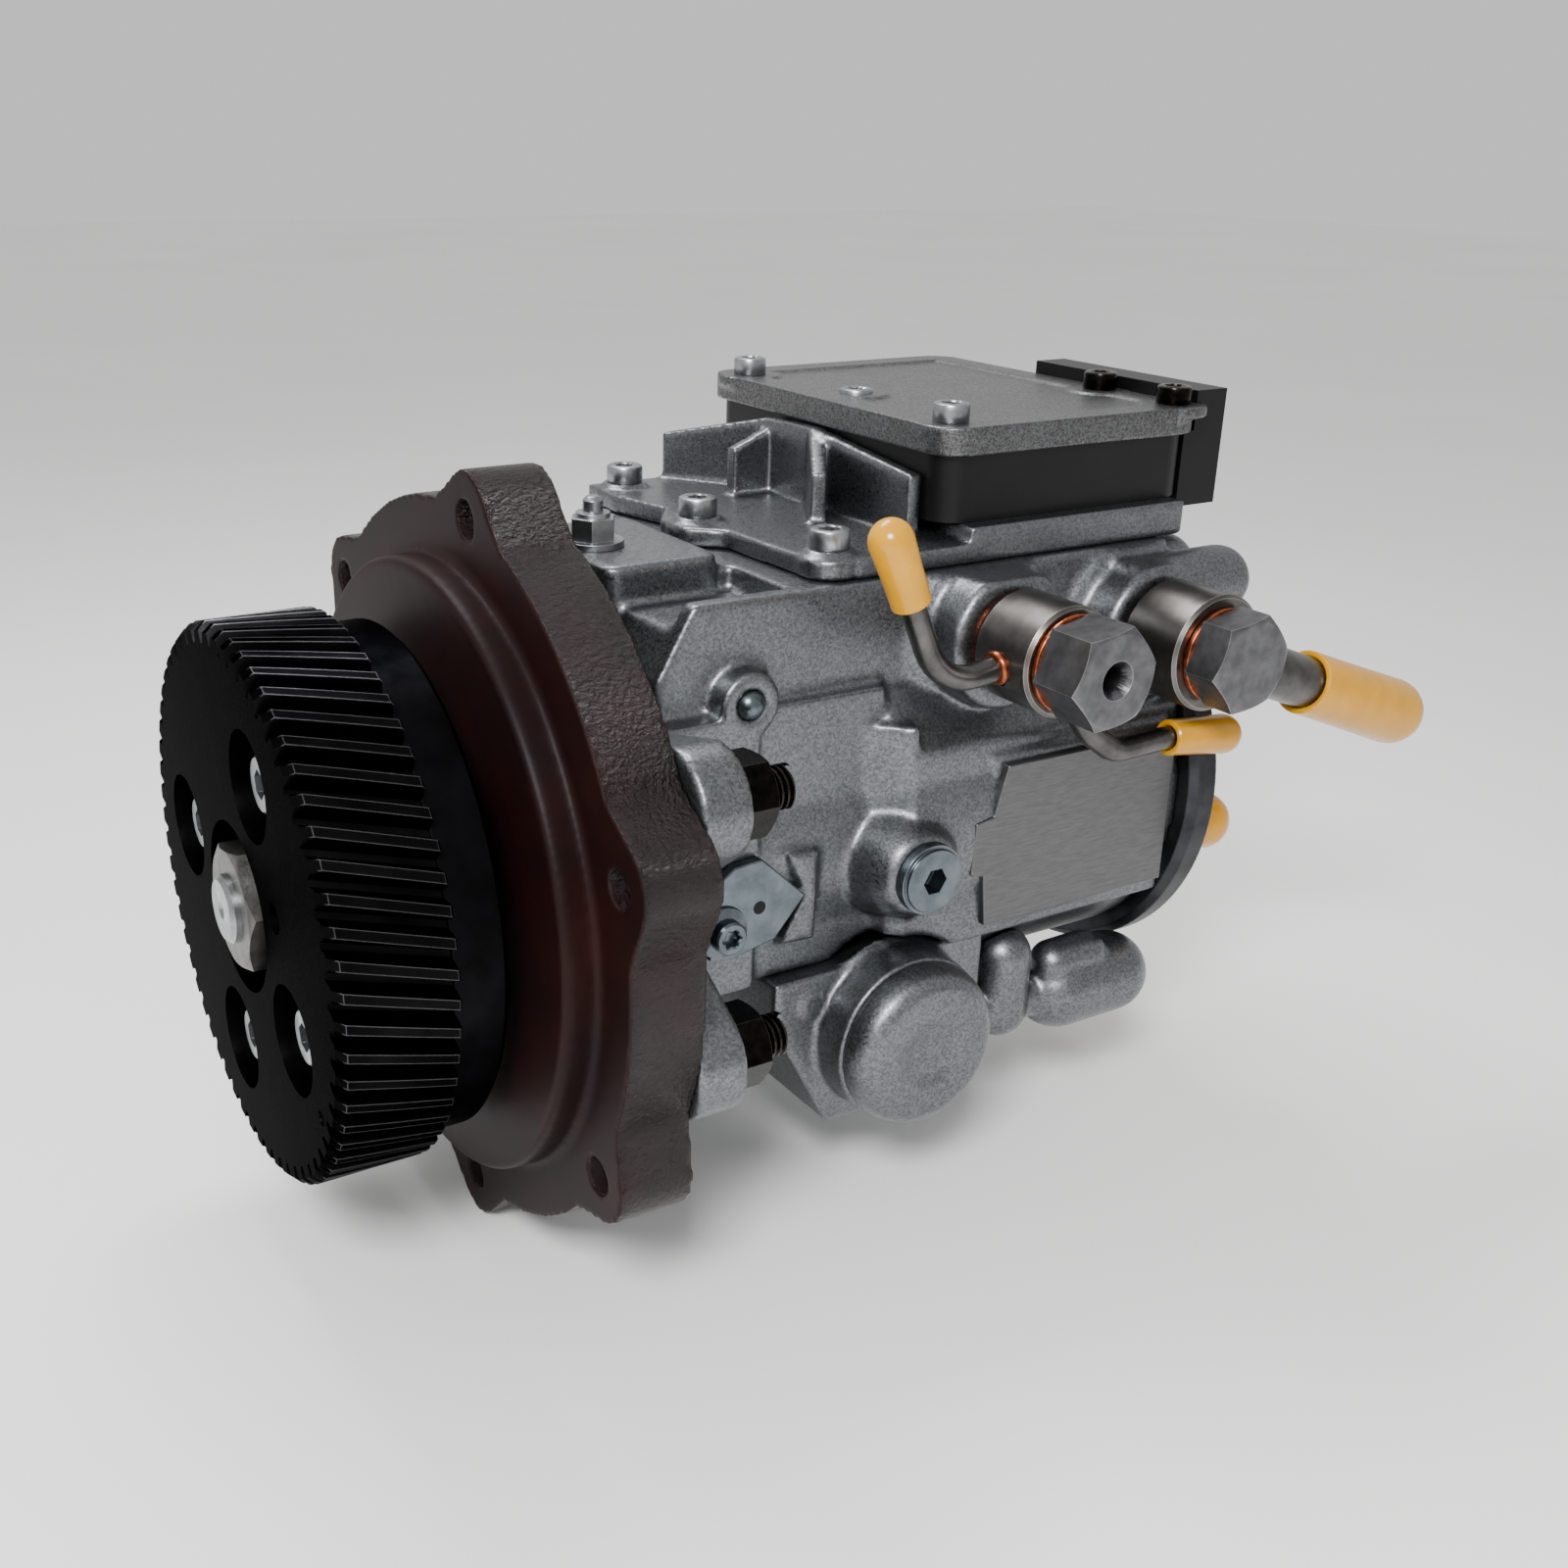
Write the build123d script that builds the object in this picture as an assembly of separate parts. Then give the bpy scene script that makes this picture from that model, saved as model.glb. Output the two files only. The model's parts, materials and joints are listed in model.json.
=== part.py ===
"""Rotary diesel injection pump with its drive gear, mounting flange and control unit.

Row frame, in millimetres: the shaft runs along X and turns about the origin, which lies on
the engine side of the mounting flange. +X runs from the drive gear to the fuel outlets, +Z
points up to the control unit, and the side with the fuel pipes faces -Y.
"""

import os
from functools import partial
from math import acos, atan2, cos, degrees, pi, radians, sin, tan

from build123d import *

# Clearances
running_gap = 0.05
o_ring_r = 1.15
loose_gap = 0.35
seat_gap = 0.05

# Mounting flange
flange_thickness = 18.0
flange_r = 87.5
flange_hole_circle_r = 86.3
flange_hole_r = 4.25
flange_lobe_r = 11.0
flange_lobe_spread = 11.0
flange_hole_angles = (39.0, 98.4, 162.8, 213.3, 267.1, 333.0)
spigot_r = 74.0
spigot_length = 8.3
spigot_chamfer = 1.0
spigot_recess_r = 66.0
flange_web = 17.0
nose_r = 34.0
nose_length = 15.0

# Drive gear and hub
gear_teeth = 60
gear_module = 2.09
gear_addendum = 2.05
gear_dedendum = 2.7
gear_width = 26.7
gear_helix = 17.0
gear_tip_chamfer = 0.8
gear_bore_r = 20.0
hub_gap = 5.7
hub_thickness = 12.7
hub_r = 60.5
hub_spigot_length = 13.3
hub_boss_r = 18.0
hub_boss_length = 8.0
gear_bolt_circle_r = 38.3
gear_bolt_angles = (115.3, 9.2, 281.5, 207.7)
gear_bolt_pocket_r = 12.5
gear_bolt_pocket_depth = 10.6
gear_bolt_r = 4.0
gear_bolt_head_r = 6.5
gear_bolt_head_height = 8.0
gear_bolt_grip = 10.0
timing_hole_r = 3.6
timing_hole_circle_r = 29.2
timing_hole_angle = 162.8
timing_dot_r = 1.7
timing_dot_circle_r = 57.5
timing_dot_angle = 209.5

# Shaft and its nut
shaft_r = 12.5
taper_small_r = 9.0
thread_r = 8.0
nut_across_flats = 27.0
nut_height = 13.0
nut_angle = 140.0
hub_washer_r = 16.5
hub_washer_thickness = 2.0
thread_stand_out = 2.2
key_width = 4.0
key_length = 14.0
key_height = 5.0
seal_r = 22.0
seal_width = 7.0
seal_depth = 2.0
bush_r = 15.5
bush_length = 24.0

# Front flange of the housing and its studs
ear_thickness = 12.5
ear_r = 13.0
ear_core_r = 58.0
stud_r = 5.0
stud_places = ((-72.0, 35.5), (-72.7, -24.3), (72.0, 35.5), (72.7, -24.3))
stud_bite = 12.0
stud_stand_out = 7.6
stud_nut_across_flats = 17.0
stud_nut_height = 8.4

# Pump housing
barrel_front_r = 45.8
barrel_rear_r = 54.5
housing_rear_x = 185.0
shoulder_x = 94.0
front_block_half_width = 46.2
recess_x = 57.0
recess_half_width = 43.0
rear_block_half_width = 51.5
side_top_z = 42.0
deck_z = 67.3
deck_half_width = 40.0
deck_front_x = 32.0
deck_slope_x = 42.0
deck_slope_z = 50.0
seam_z = -28.5
shelf_x = 70.0
shelf_far_y = 67.0
shelf_foot_z = 34.0
shelf_thickness = 11.0
pocket_floor_z = 61.5
ledge_top_z = 71.0
ledge_size_x = 31.0
ledge_size_y = 48.0
ledge_y = 14.0
rear_lobe_r = 9.0
rear_lobe_y = -27.0
rear_lobe_z = 56.0
rear_lobe_end_x = 206.0
pump_bore_r = 33.0
pump_bore_x = 40.0
cam_bore_r = 37.0
cam_bore_x = 66.0
head_bore_r = 42.0
head_bore_x = 111.0

# Vane pump
pump_ring_width = 14.0
pump_ring_bore_r = 26.0
pump_eccentricity = 2.5
pump_rotor_r = 22.5
vane_thickness = 2.4
vane_count = 4
pump_cover_thickness = 4.0
pump_screw_r = 2.0
pump_screw_circle_r = 29.4
pump_screw_angles = (195.0, 270.0, 345.0)

# Injection cam and rotor
cam_x = 97.0
cam_width = 18.0
cam_lobes = 4
cam_base_r = 31.6
cam_lobe_lift = 2.4
rotor_carrier_r = 22.0
rotor_carrier_width = 16.0
rotor_r = 10.0
roller_r = 4.5
roller_length = 13.0
roller_place_r = 24.2
plunger_r = 3.2
plunger_inner_r = 6.5
sensor_wheel_to_cam = 27.0
sensor_wheel_r = 27.0
sensor_wheel_thickness = 2.5
sensor_wheel_teeth = 24
cam_swing_deg = 12.0

# Distributor head
head_stem_r = 26.0
head_stem_end_x = 150.0
head_flange_r = 60.0
head_flange_thickness = 10.0
head_boss_r = 52.0
head_boss_height = 3.0
outlet_circle_r = 41.5
outlet_angles = (207.0, 134.0, 46.0, 333.0)
outlet_thread_r = 7.0
outlet_hex = 17.0
outlet_hex_height = 7.0
outlet_nipple_r = 6.0
outlet_nipple_length = 11.0
outlet_bore_r = 3.5
outlet_depth = 12.0
delivery_valve_length = 7.0
delivery_spring_length = 12.0
cap_wall = 2.0
head_screw_circle_r = 48.2
head_screw_angles = (90.0, 170.0, 270.0, 10.0)
head_screw_r = 3.0

# High-pressure solenoid valve
solenoid_r = 14.0
solenoid_coil_r = 18.0
solenoid_coil_length = 16.0
solenoid_needle_r = 2.4
solenoid_depth = 8.0
solenoid_stroke = 0.4
clamp_thickness = 4.0
clamp_screw_z = 25.0

# Control unit and its cast bracket
bracket_flange_thickness = 5.0
bracket_pad_thickness = 9.0
bracket_rear_x = 192.0
bracket_half_width = 38.0
bracket_far_y = 68.0
bracket_step_x = 121.0
bracket_screw_places = ((85.0, -29.5), (75.5, 15.0), (79.0, 60.0), (184.0, 60.0))
bracket_lug_r = 7.5
rib_thickness = 4.0
unit_front_x = 114.0
unit_rear_x = 199.0
unit_near_y = -35.0
unit_far_y = 75.0
unit_corner_r = 8.0
unit_plastic_height = 16.4
unit_plate_thickness = 7.0
unit_inset = 2.0
unit_wall = 3.0
unit_screw_places = ((126.0, -22.0), (124.0, 62.0), (190.0, -25.0), (189.0, 63.0), (134.0, 24.0))
connector_length = 11.0
connector_near_y = -31.0
connector_far_y = 32.0
connector_drop = 3.5
connector_rise = 3.3
connector_wall = 3.0
connector_depth = 8.0
pin_count = 5
screw_head_r = 4.9
screw_head_height = 4.6
screw_shank_r = 3.0

# Timing device below the housing
timing_x0 = 62.0
timing_x1 = 127.0
timing_bottom_z = -72.0
timing_half_width = 47.8
timing_axis_z = -47.4
timing_bore_r = 9.5
timing_boss_r = 22.5
timing_boss_y = -58.0
timing_cover_y = -67.2
timing_cover_r = 20.0
piston_length = 54.0
piston_near_y = -31.0
timing_spring_wire_r = 1.0
timing_plug_hex = 22.0
solenoid_lobe_x0 = 148.0
solenoid_lobe_x1 = 190.0
solenoid_lobe_y = -42.0
solenoid_lobe_z = -56.0
solenoid_lobe_r = 11.5
link_lobe_x = 139.0
link_lobe_r = 8.0
timing_valve_r = 7.0
timing_valve_length = 24.0
timing_valve_stroke = 0.6

# Pipes and their banjo unions
union_face_y = -53.0
union_length = 20.0
return_x = 123.6
return_z = 51.6
return_union_r = 13.5
inlet_x = 172.3
inlet_z = 46.8
inlet_union_r = 14.8
union_boss_r = 17.5
copper_washer_thickness = 1.5
union_bolt_hex = 22.0
return_bolt_head = 14.0
inlet_bolt_head = 10.0
union_bolt_shank_r = 7.0
union_bolt_bore_r = 3.0
union_bolt_length = 38.0
inlet_pipe_slope = 20.5
inlet_pipe_reach = 76.0
return_pipe_r = 3.0
inlet_pipe_r = 7.0
overflow_stroke = 2.0

# Small parts on the side
ball_plug_x = 53.6
ball_plug_z = 44.5
ball_r = 3.6
ball_ring_r = 7.8
side_plug_x = 97.5
side_plug_z = -2.5
side_plug_boss_r = 12.5
side_plug_r = 7.5
side_plug_face_y = -62.0
lock_plate_thickness = 3.0
lock_screw_x = 42.0
lock_screw_y = 8.0
label_x0 = 120.0
label_x1 = 180.0
label_z0 = -24.0
label_z1 = 22.0
label_height = 1.2

# Positions that follow from the sizes above
hub_rear_x = -(spigot_length + hub_gap)
gear_rear_x = hub_rear_x - hub_thickness
gear_front_x = gear_rear_x - gear_width
gear_pitch_r = gear_teeth * gear_module / 2
gear_tip_r = gear_pitch_r + gear_addendum
gear_root_r = gear_pitch_r - gear_dedendum
hub_front_x = gear_rear_x - hub_spigot_length
washer_front_x = hub_front_x - hub_washer_thickness
nut_front_x = washer_front_x - nut_height
nose_front_x = flange_thickness - nose_length
ear_rear_x = flange_thickness + ear_thickness
head_flange_x = housing_rear_x + head_flange_thickness
head_rear_x = head_flange_x + head_boss_height
bracket_top_z = deck_z + bracket_flange_thickness
unit_floor_z = deck_z + bracket_pad_thickness
unit_plate_z = unit_floor_z + unit_plastic_height
unit_top_z = unit_plate_z + unit_plate_thickness
union_end_y = union_face_y - union_length
union_mid_y = (union_face_y + union_end_y) / 2
pump_ring_x1 = pump_bore_x + pump_ring_width
pump_cover_x1 = pump_ring_x1 + pump_cover_thickness
cam_front_x = cam_x - cam_width / 2
sensor_wheel_x = cam_x - sensor_wheel_to_cam
cam_rear_x = cam_x + cam_width / 2
rotor_front_x = cam_x - rotor_carrier_width / 2
rotor_back_x = cam_x + rotor_carrier_width / 2
nose_ring_x = (nose_front_x + flange_thickness) / 2
head_ring_x = housing_rear_x - 12.0
cam_pin_r = 4.0
cam_ball_r = 5.5
seal_front_x = nose_front_x + seal_depth
bush_front_x = seal_front_x + seal_width + 2.0


def block(x0, x1, y0, y1, z0, z1):
    """Box between two corners."""
    centre = Pos((x0 + x1) / 2, (y0 + y1) / 2, (z0 + z1) / 2)
    return centre * Box(abs(x1 - x0), abs(y1 - y0), abs(z1 - z0))


def along_x(sketch, x0, x1):
    """Sketch drawn in Y and Z, drawn out from x0 to x1."""
    return extrude(Plane.YZ.offset(x0) * sketch, x1 - x0, dir=(1, 0, 0))


def along_y(sketch, y0, y1):
    """Sketch drawn in X and Z, drawn out from y0 towards the smaller y1."""
    return extrude(Plane.XZ.offset(-y0) * sketch, y0 - y1, dir=(0, -1, 0))


def along_z(sketch, z0, z1):
    """Sketch drawn in X and Y, drawn out from z0 to z1."""
    return extrude(Plane.XY.offset(z0) * sketch, z1 - z0, dir=(0, 0, 1))


def rod_x(x0, x1, r, y=0.0, z=0.0):
    return along_x(Pos(y, z) * Circle(r), x0, x1)


def rod_y(y0, y1, r, x, z):
    return along_y(Pos(x, z) * Circle(r), y0, y1)


def rod_z(z0, z1, r, x, y):
    return along_z(Pos(x, y) * Circle(r), z0, z1)


def hexagon(across_flats, turn=0.0):
    return Rot(0, 0, turn) * RegularPolygon(across_flats / 2, 6, major_radius=False)


def turned_x(*profile):
    """Profile of (x, radius) points, turned about the shaft axis."""
    return revolve(Polygon(*profile, align=None), Axis.X)


def turned_y(x, z, *profile):
    """Profile of (y, radius) points, turned about an axis along Y through x and z."""
    outline = Polygon(*[(r, y) for y, r in profile], align=None)
    return Pos(x, 0, z) * revolve(outline, Axis.Y)


def turned_z(x, y, *profile):
    """Profile of (z, radius) points, turned about an axis along Z through x and y."""
    outline = Plane.XZ * Polygon(*[(r, z) for z, r in profile], align=None)
    return Pos(x, y, 0) * revolve(outline, Axis.Z)


def on_circle(radius, angle):
    """Y and Z of a place on a circle about the shaft axis, the angle counted from +Y to +Z."""
    return radius * cos(radians(angle)), radius * sin(radians(angle))


def strap(start, start_r, end, end_r):
    """Outline round two circles, with straight sides that touch both."""
    run = Vector(*end) - Vector(*start)
    middle = degrees(atan2(run.Y, run.X))
    lean = degrees(acos((start_r - end_r) / run.length))
    corners = []
    for side in (-1, 1):
        way = radians(middle + side * lean)
        near = (start[0] + start_r * cos(way), start[1] + start_r * sin(way))
        far = (end[0] + end_r * cos(way), end[1] + end_r * sin(way))
        corners += [near, far] if side < 0 else [far, near]
    sides = Polygon(*corners, align=None)
    return sides + Pos(*start) * Circle(start_r) + Pos(*end) * Circle(end_r)


def one(shapes):
    """Fuse a list of shapes into one part."""
    shapes = list(shapes)
    result = shapes[0]
    for shape in shapes[1:]:
        result = result + shape
    return result


def group(shapes):
    """Keep separate solids together in one node."""
    return Compound(children=[solid for shape in shapes for solid in shape.solids()])


def bevelled_hex_x(x0, x1, across_flats, y=0.0, z=0.0, turn=0.0, bevel_front=True, bevel_rear=False):
    """Hexagon along X whose corners are turned off by a cone at one end or both."""
    corner_r = across_flats / 2 / cos(pi / 6)
    flat_r = across_flats / 2
    drop = (corner_r - flat_r) * 0.6
    front = [(x0, 0), (x0, flat_r), (x0 + drop, corner_r + 0.1)]
    if not bevel_front:
        front = [(x0, 0), (x0, corner_r + 0.1)]
    rear = [(x1 - drop, corner_r + 0.1), (x1, flat_r), (x1, 0)]
    if not bevel_rear:
        rear = [(x1, corner_r + 0.1), (x1, 0)]
    prism = along_x(hexagon(across_flats, turn), x0, x1)
    return Pos(0, y, z) * (prism & turned_x(*front, *rear))


def turn_to_y(shape, x, z):
    """Stand a shape that points along -X so that it points along -Y at x and z."""
    return Pos(x, 0, z) * Rot(0, 0, 90) * shape


# Drive gear, hub and shaft


def gear_section(x, tip_r, turn):
    """Outline of all the teeth at x, turned a little round the axis."""
    pitch_angle = 360 / gear_teeth
    points = []
    for tooth in range(gear_teeth):
        for radius, share in (
            (gear_root_r, -0.38),
            (gear_pitch_r, -0.25),
            (tip_r, -0.12),
            (tip_r, 0.12),
            (gear_pitch_r, 0.25),
            (gear_root_r, 0.38),
        ):
            points.append(on_circle(radius, (tooth + share) * pitch_angle))
    return Plane.YZ.offset(x) * Rot(0, 0, turn) * Polygon(*points, align=None)


def make_drive_gear():
    """Helical gear: its teeth run through three sections, the first one small for the chamfer."""
    twist = degrees(gear_width * tan(radians(gear_helix)) / gear_pitch_r)
    chamfer_x = gear_front_x + gear_tip_chamfer
    chamfer_turn = twist * gear_tip_chamfer / gear_width
    sections = [
        gear_section(gear_front_x, gear_tip_r - gear_tip_chamfer, 0),
        gear_section(chamfer_x, gear_tip_r, chamfer_turn),
        gear_section(gear_rear_x, gear_tip_r, twist),
    ]
    cuts = [rod_x(gear_front_x, gear_rear_x, gear_bore_r)]
    pocket_floor = gear_front_x + gear_bolt_pocket_depth
    for angle in gear_bolt_angles:
        y, z = on_circle(gear_bolt_circle_r, angle)
        cuts.append(rod_x(gear_front_x, pocket_floor, gear_bolt_pocket_r, y, z))
        cuts.append(rod_x(pocket_floor, gear_rear_x, gear_bolt_r + 0.4, y, z))
    y, z = on_circle(timing_hole_circle_r, timing_hole_angle)
    cuts.append(rod_x(gear_front_x, gear_rear_x, timing_hole_r, y, z))
    y, z = on_circle(timing_dot_circle_r, timing_dot_angle)
    cuts.append(rod_x(gear_front_x, gear_front_x + 0.6, timing_dot_r, y, z))
    return loft(sections, ruled=True) - one(cuts)


def taper_r(x):
    """Radius of the shaft's taper at x."""
    share = (x - hub_front_x) / (hub_rear_x + hub_boss_length - hub_front_x)
    return taper_small_r + share * (shaft_r - taper_small_r)


def key_slot(extra):
    """Space of the woodruff key across the shaft and the hub."""
    x0 = gear_rear_x - key_length / 2 + 4.0
    middle_r = taper_r(x0 + key_length / 2)
    return block(
        x0 - extra,
        x0 + key_length + extra,
        -key_width / 2 - extra,
        key_width / 2 + extra,
        middle_r - key_height / 2 - extra,
        middle_r + key_height / 2 + extra,
    )


def make_gear_hub():
    hub_end_x = hub_rear_x + hub_boss_length
    spigot = gear_bore_r - seat_gap
    hub = turned_x(
        (hub_front_x, taper_r(hub_front_x)),
        (hub_front_x, spigot - 1.0),
        (hub_front_x + 1.0, spigot),
        (gear_rear_x, spigot),
        (gear_rear_x, hub_r),
        (hub_rear_x - 1.2, hub_r),
        (hub_rear_x, hub_r - 1.2),
        (hub_rear_x, hub_boss_r),
        (hub_end_x, hub_boss_r - 1.0),
        (hub_end_x, taper_r(hub_end_x)),
    )
    for angle in gear_bolt_angles:
        y, z = on_circle(gear_bolt_circle_r, angle)
        hub -= rod_x(gear_rear_x, gear_rear_x + gear_bolt_grip + 1.0, gear_bolt_r, y, z)
    y, z = on_circle(timing_hole_circle_r, timing_hole_angle)
    hub -= rod_x(gear_rear_x, hub_rear_x, timing_hole_r, y, z)
    return hub - key_slot(0.0)


def make_gear_bolts():
    seat_x = gear_front_x + gear_bolt_pocket_depth
    head_x = seat_x - gear_bolt_head_height
    bolts = []
    for angle in gear_bolt_angles:
        y, z = on_circle(gear_bolt_circle_r, angle)
        profile = (
            (head_x, 0),
            (head_x, gear_bolt_head_r - 0.6),
            (head_x + 0.6, gear_bolt_head_r),
            (seat_x, gear_bolt_head_r),
            (seat_x, gear_bolt_r),
            (gear_rear_x + gear_bolt_grip - 0.6, gear_bolt_r),
            (gear_rear_x + gear_bolt_grip, gear_bolt_r - 0.6),
            (gear_rear_x + gear_bolt_grip, 0),
        )
        socket = along_x(hexagon(gear_bolt_head_r * 0.92, 15), head_x, head_x + 4.0)
        bolts.append(Pos(0, y, z) * (turned_x(*profile) - socket))
    return group(bolts)


def make_hub_washer():
    return turned_x(
        (washer_front_x, thread_r + 0.3),
        (washer_front_x, hub_washer_r),
        (hub_front_x, hub_washer_r),
        (hub_front_x, thread_r + 0.3),
    )


def make_hub_nut():
    nut = bevelled_hex_x(nut_front_x, washer_front_x, nut_across_flats, turn=nut_angle - 30)
    return nut - rod_x(nut_front_x, washer_front_x, thread_r)


def make_drive_shaft():
    tip_x = nut_front_x - thread_stand_out
    taper_end_x = hub_rear_x + hub_boss_length
    shaft = turned_x(
        (tip_x + 2.0, 0),
        (tip_x, 2.2),
        (tip_x, thread_r - 1.0),
        (tip_x + 1.0, thread_r),
        (hub_front_x, thread_r),
        (hub_front_x, taper_small_r),
        (taper_end_x, shaft_r),
        (rotor_front_x - loose_gap - 6.0, shaft_r),
        (rotor_front_x - loose_gap - 6.0, shaft_r + 4.0),
        (rotor_front_x - loose_gap, shaft_r + 4.0),
        (rotor_front_x - loose_gap, 0),
    )
    tongue = block(rotor_front_x - loose_gap, rotor_front_x + 3.0, -3.0, 3.0, -10.0, 10.0)
    return shaft + tongue - key_slot(0.0)


def make_shaft_key():
    return key_slot(0.0)


def make_shaft_seal():
    x0, x1 = seal_front_x, seal_front_x + seal_width
    lip_r = shaft_r + running_gap
    return turned_x(
        (x0, seal_r - 3.0),
        (x0, seal_r),
        (x1, seal_r),
        (x1, lip_r + 1.5),
        (x1 - 1.5, lip_r),
        (x1 - 3.0, lip_r + 1.0),
        (x1 - 3.0, seal_r - 3.0),
    )


def make_front_bearing():
    x0, x1 = bush_front_x, bush_front_x + bush_length
    return turned_x(
        (x0, shaft_r + running_gap),
        (x0, bush_r),
        (x1, bush_r),
        (x1, shaft_r + running_gap),
    )


# Mounting flange


def flange_outline():
    """Round flange with a lobe round each hole, blended into the rim."""
    outline = Circle(flange_r)
    for angle in flange_hole_angles:
        y, z = on_circle(flange_hole_circle_r, angle)
        for spread in (-flange_lobe_spread, flange_lobe_spread):
            foot = on_circle(flange_r - 2.5, angle + spread)
            outline = outline + strap((y, z), flange_lobe_r, foot, 2.5)
    return outline


def make_adapter_flange():
    web_front_x = flange_thickness - flange_web
    body = along_x(flange_outline(), 0, flange_thickness)
    body += turned_x(
        (-spigot_length, 0),
        (-spigot_length, spigot_r - spigot_chamfer),
        (-spigot_length + spigot_chamfer, spigot_r),
        (0, spigot_r),
        (1.0, spigot_r),
        (1.0, 0),
    )
    body -= turned_x(
        (-spigot_length, 0),
        (-spigot_length, spigot_recess_r + 2.0),
        (web_front_x, spigot_recess_r - 2.0),
        (web_front_x, 0),
    )
    body -= rod_x(web_front_x, flange_thickness, nose_r)
    for angle in flange_hole_angles:
        y, z = on_circle(flange_hole_circle_r, angle)
        body -= rod_x(0, flange_thickness, flange_hole_r, y, z)
    for y, z in stud_places:
        body -= rod_x(flange_thickness - stud_bite, flange_thickness, stud_r, y, z)
    return body


def make_o_rings():
    """Ring on the housing's nose and the larger one round the distributor head."""
    rings = []
    for x, bore_r in ((nose_ring_x, nose_r), (head_ring_x, head_bore_r)):
        centre_r = bore_r - seat_gap - o_ring_r
        rings.append(Pos(x, 0, 0) * Rot(0, 90, 0) * Torus(centre_r, o_ring_r))
    return group(rings)


def o_ring_groove(x, bore_r):
    """Profile points of a ring groove in a surface that fits a bore."""
    outer_r = bore_r - seat_gap
    floor_r = outer_r - 2 * o_ring_r - 0.05
    half = o_ring_r * 1.45
    return (
        (x - half, outer_r),
        (x - half, floor_r),
        (x + half, floor_r),
        (x + half, outer_r),
    )


def make_adapter_studs():
    studs = []
    for y, z in stud_places:
        x0 = flange_thickness - stud_bite
        x1 = ear_rear_x + stud_nut_height + stud_stand_out
        profile = (
            (x0, 0),
            (x0, stud_r),
            (x1 - 1.2, stud_r),
            (x1, stud_r - 1.2),
            (x1, 0),
        )
        studs.append(Pos(0, y, z) * turned_x(*profile))
    return group(studs)


def make_stud_nuts():
    nuts = []
    for y, z in stud_places:
        x0, x1 = ear_rear_x, ear_rear_x + stud_nut_height
        nut = bevelled_hex_x(x0, x1, stud_nut_across_flats, y, z, 0, bevel_front=True, bevel_rear=True)
        nuts.append(nut - rod_x(x0, x1, stud_r, y, z))
    return group(nuts)


# Housing


def ear_outline():
    """Front flange: a round core with one rounded ear out to each stud."""
    outline = Circle(ear_core_r)
    for y, z in stud_places:
        outline = outline + strap((y * 0.45, z * 0.45), ear_r + 9.0, (y, z), ear_r)
    return outline


def inner_space():
    """Bores of the housing along the shaft axis."""
    return turned_x(
        (nose_front_x, 0),
        (nose_front_x, seal_r),
        (seal_front_x + seal_width, seal_r),
        (seal_front_x + seal_width, bush_r),
        (bush_front_x + bush_length, bush_r),
        (bush_front_x + bush_length, shaft_r + 2.0),
        (pump_bore_x, shaft_r + 2.0),
        (pump_bore_x, pump_bore_r),
        (cam_bore_x, pump_bore_r),
        (cam_bore_x, cam_bore_r),
        (head_bore_x, cam_bore_r),
        (head_bore_x, head_bore_r),
        (housing_rear_x, head_bore_r),
        (housing_rear_x, 0),
    )


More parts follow.
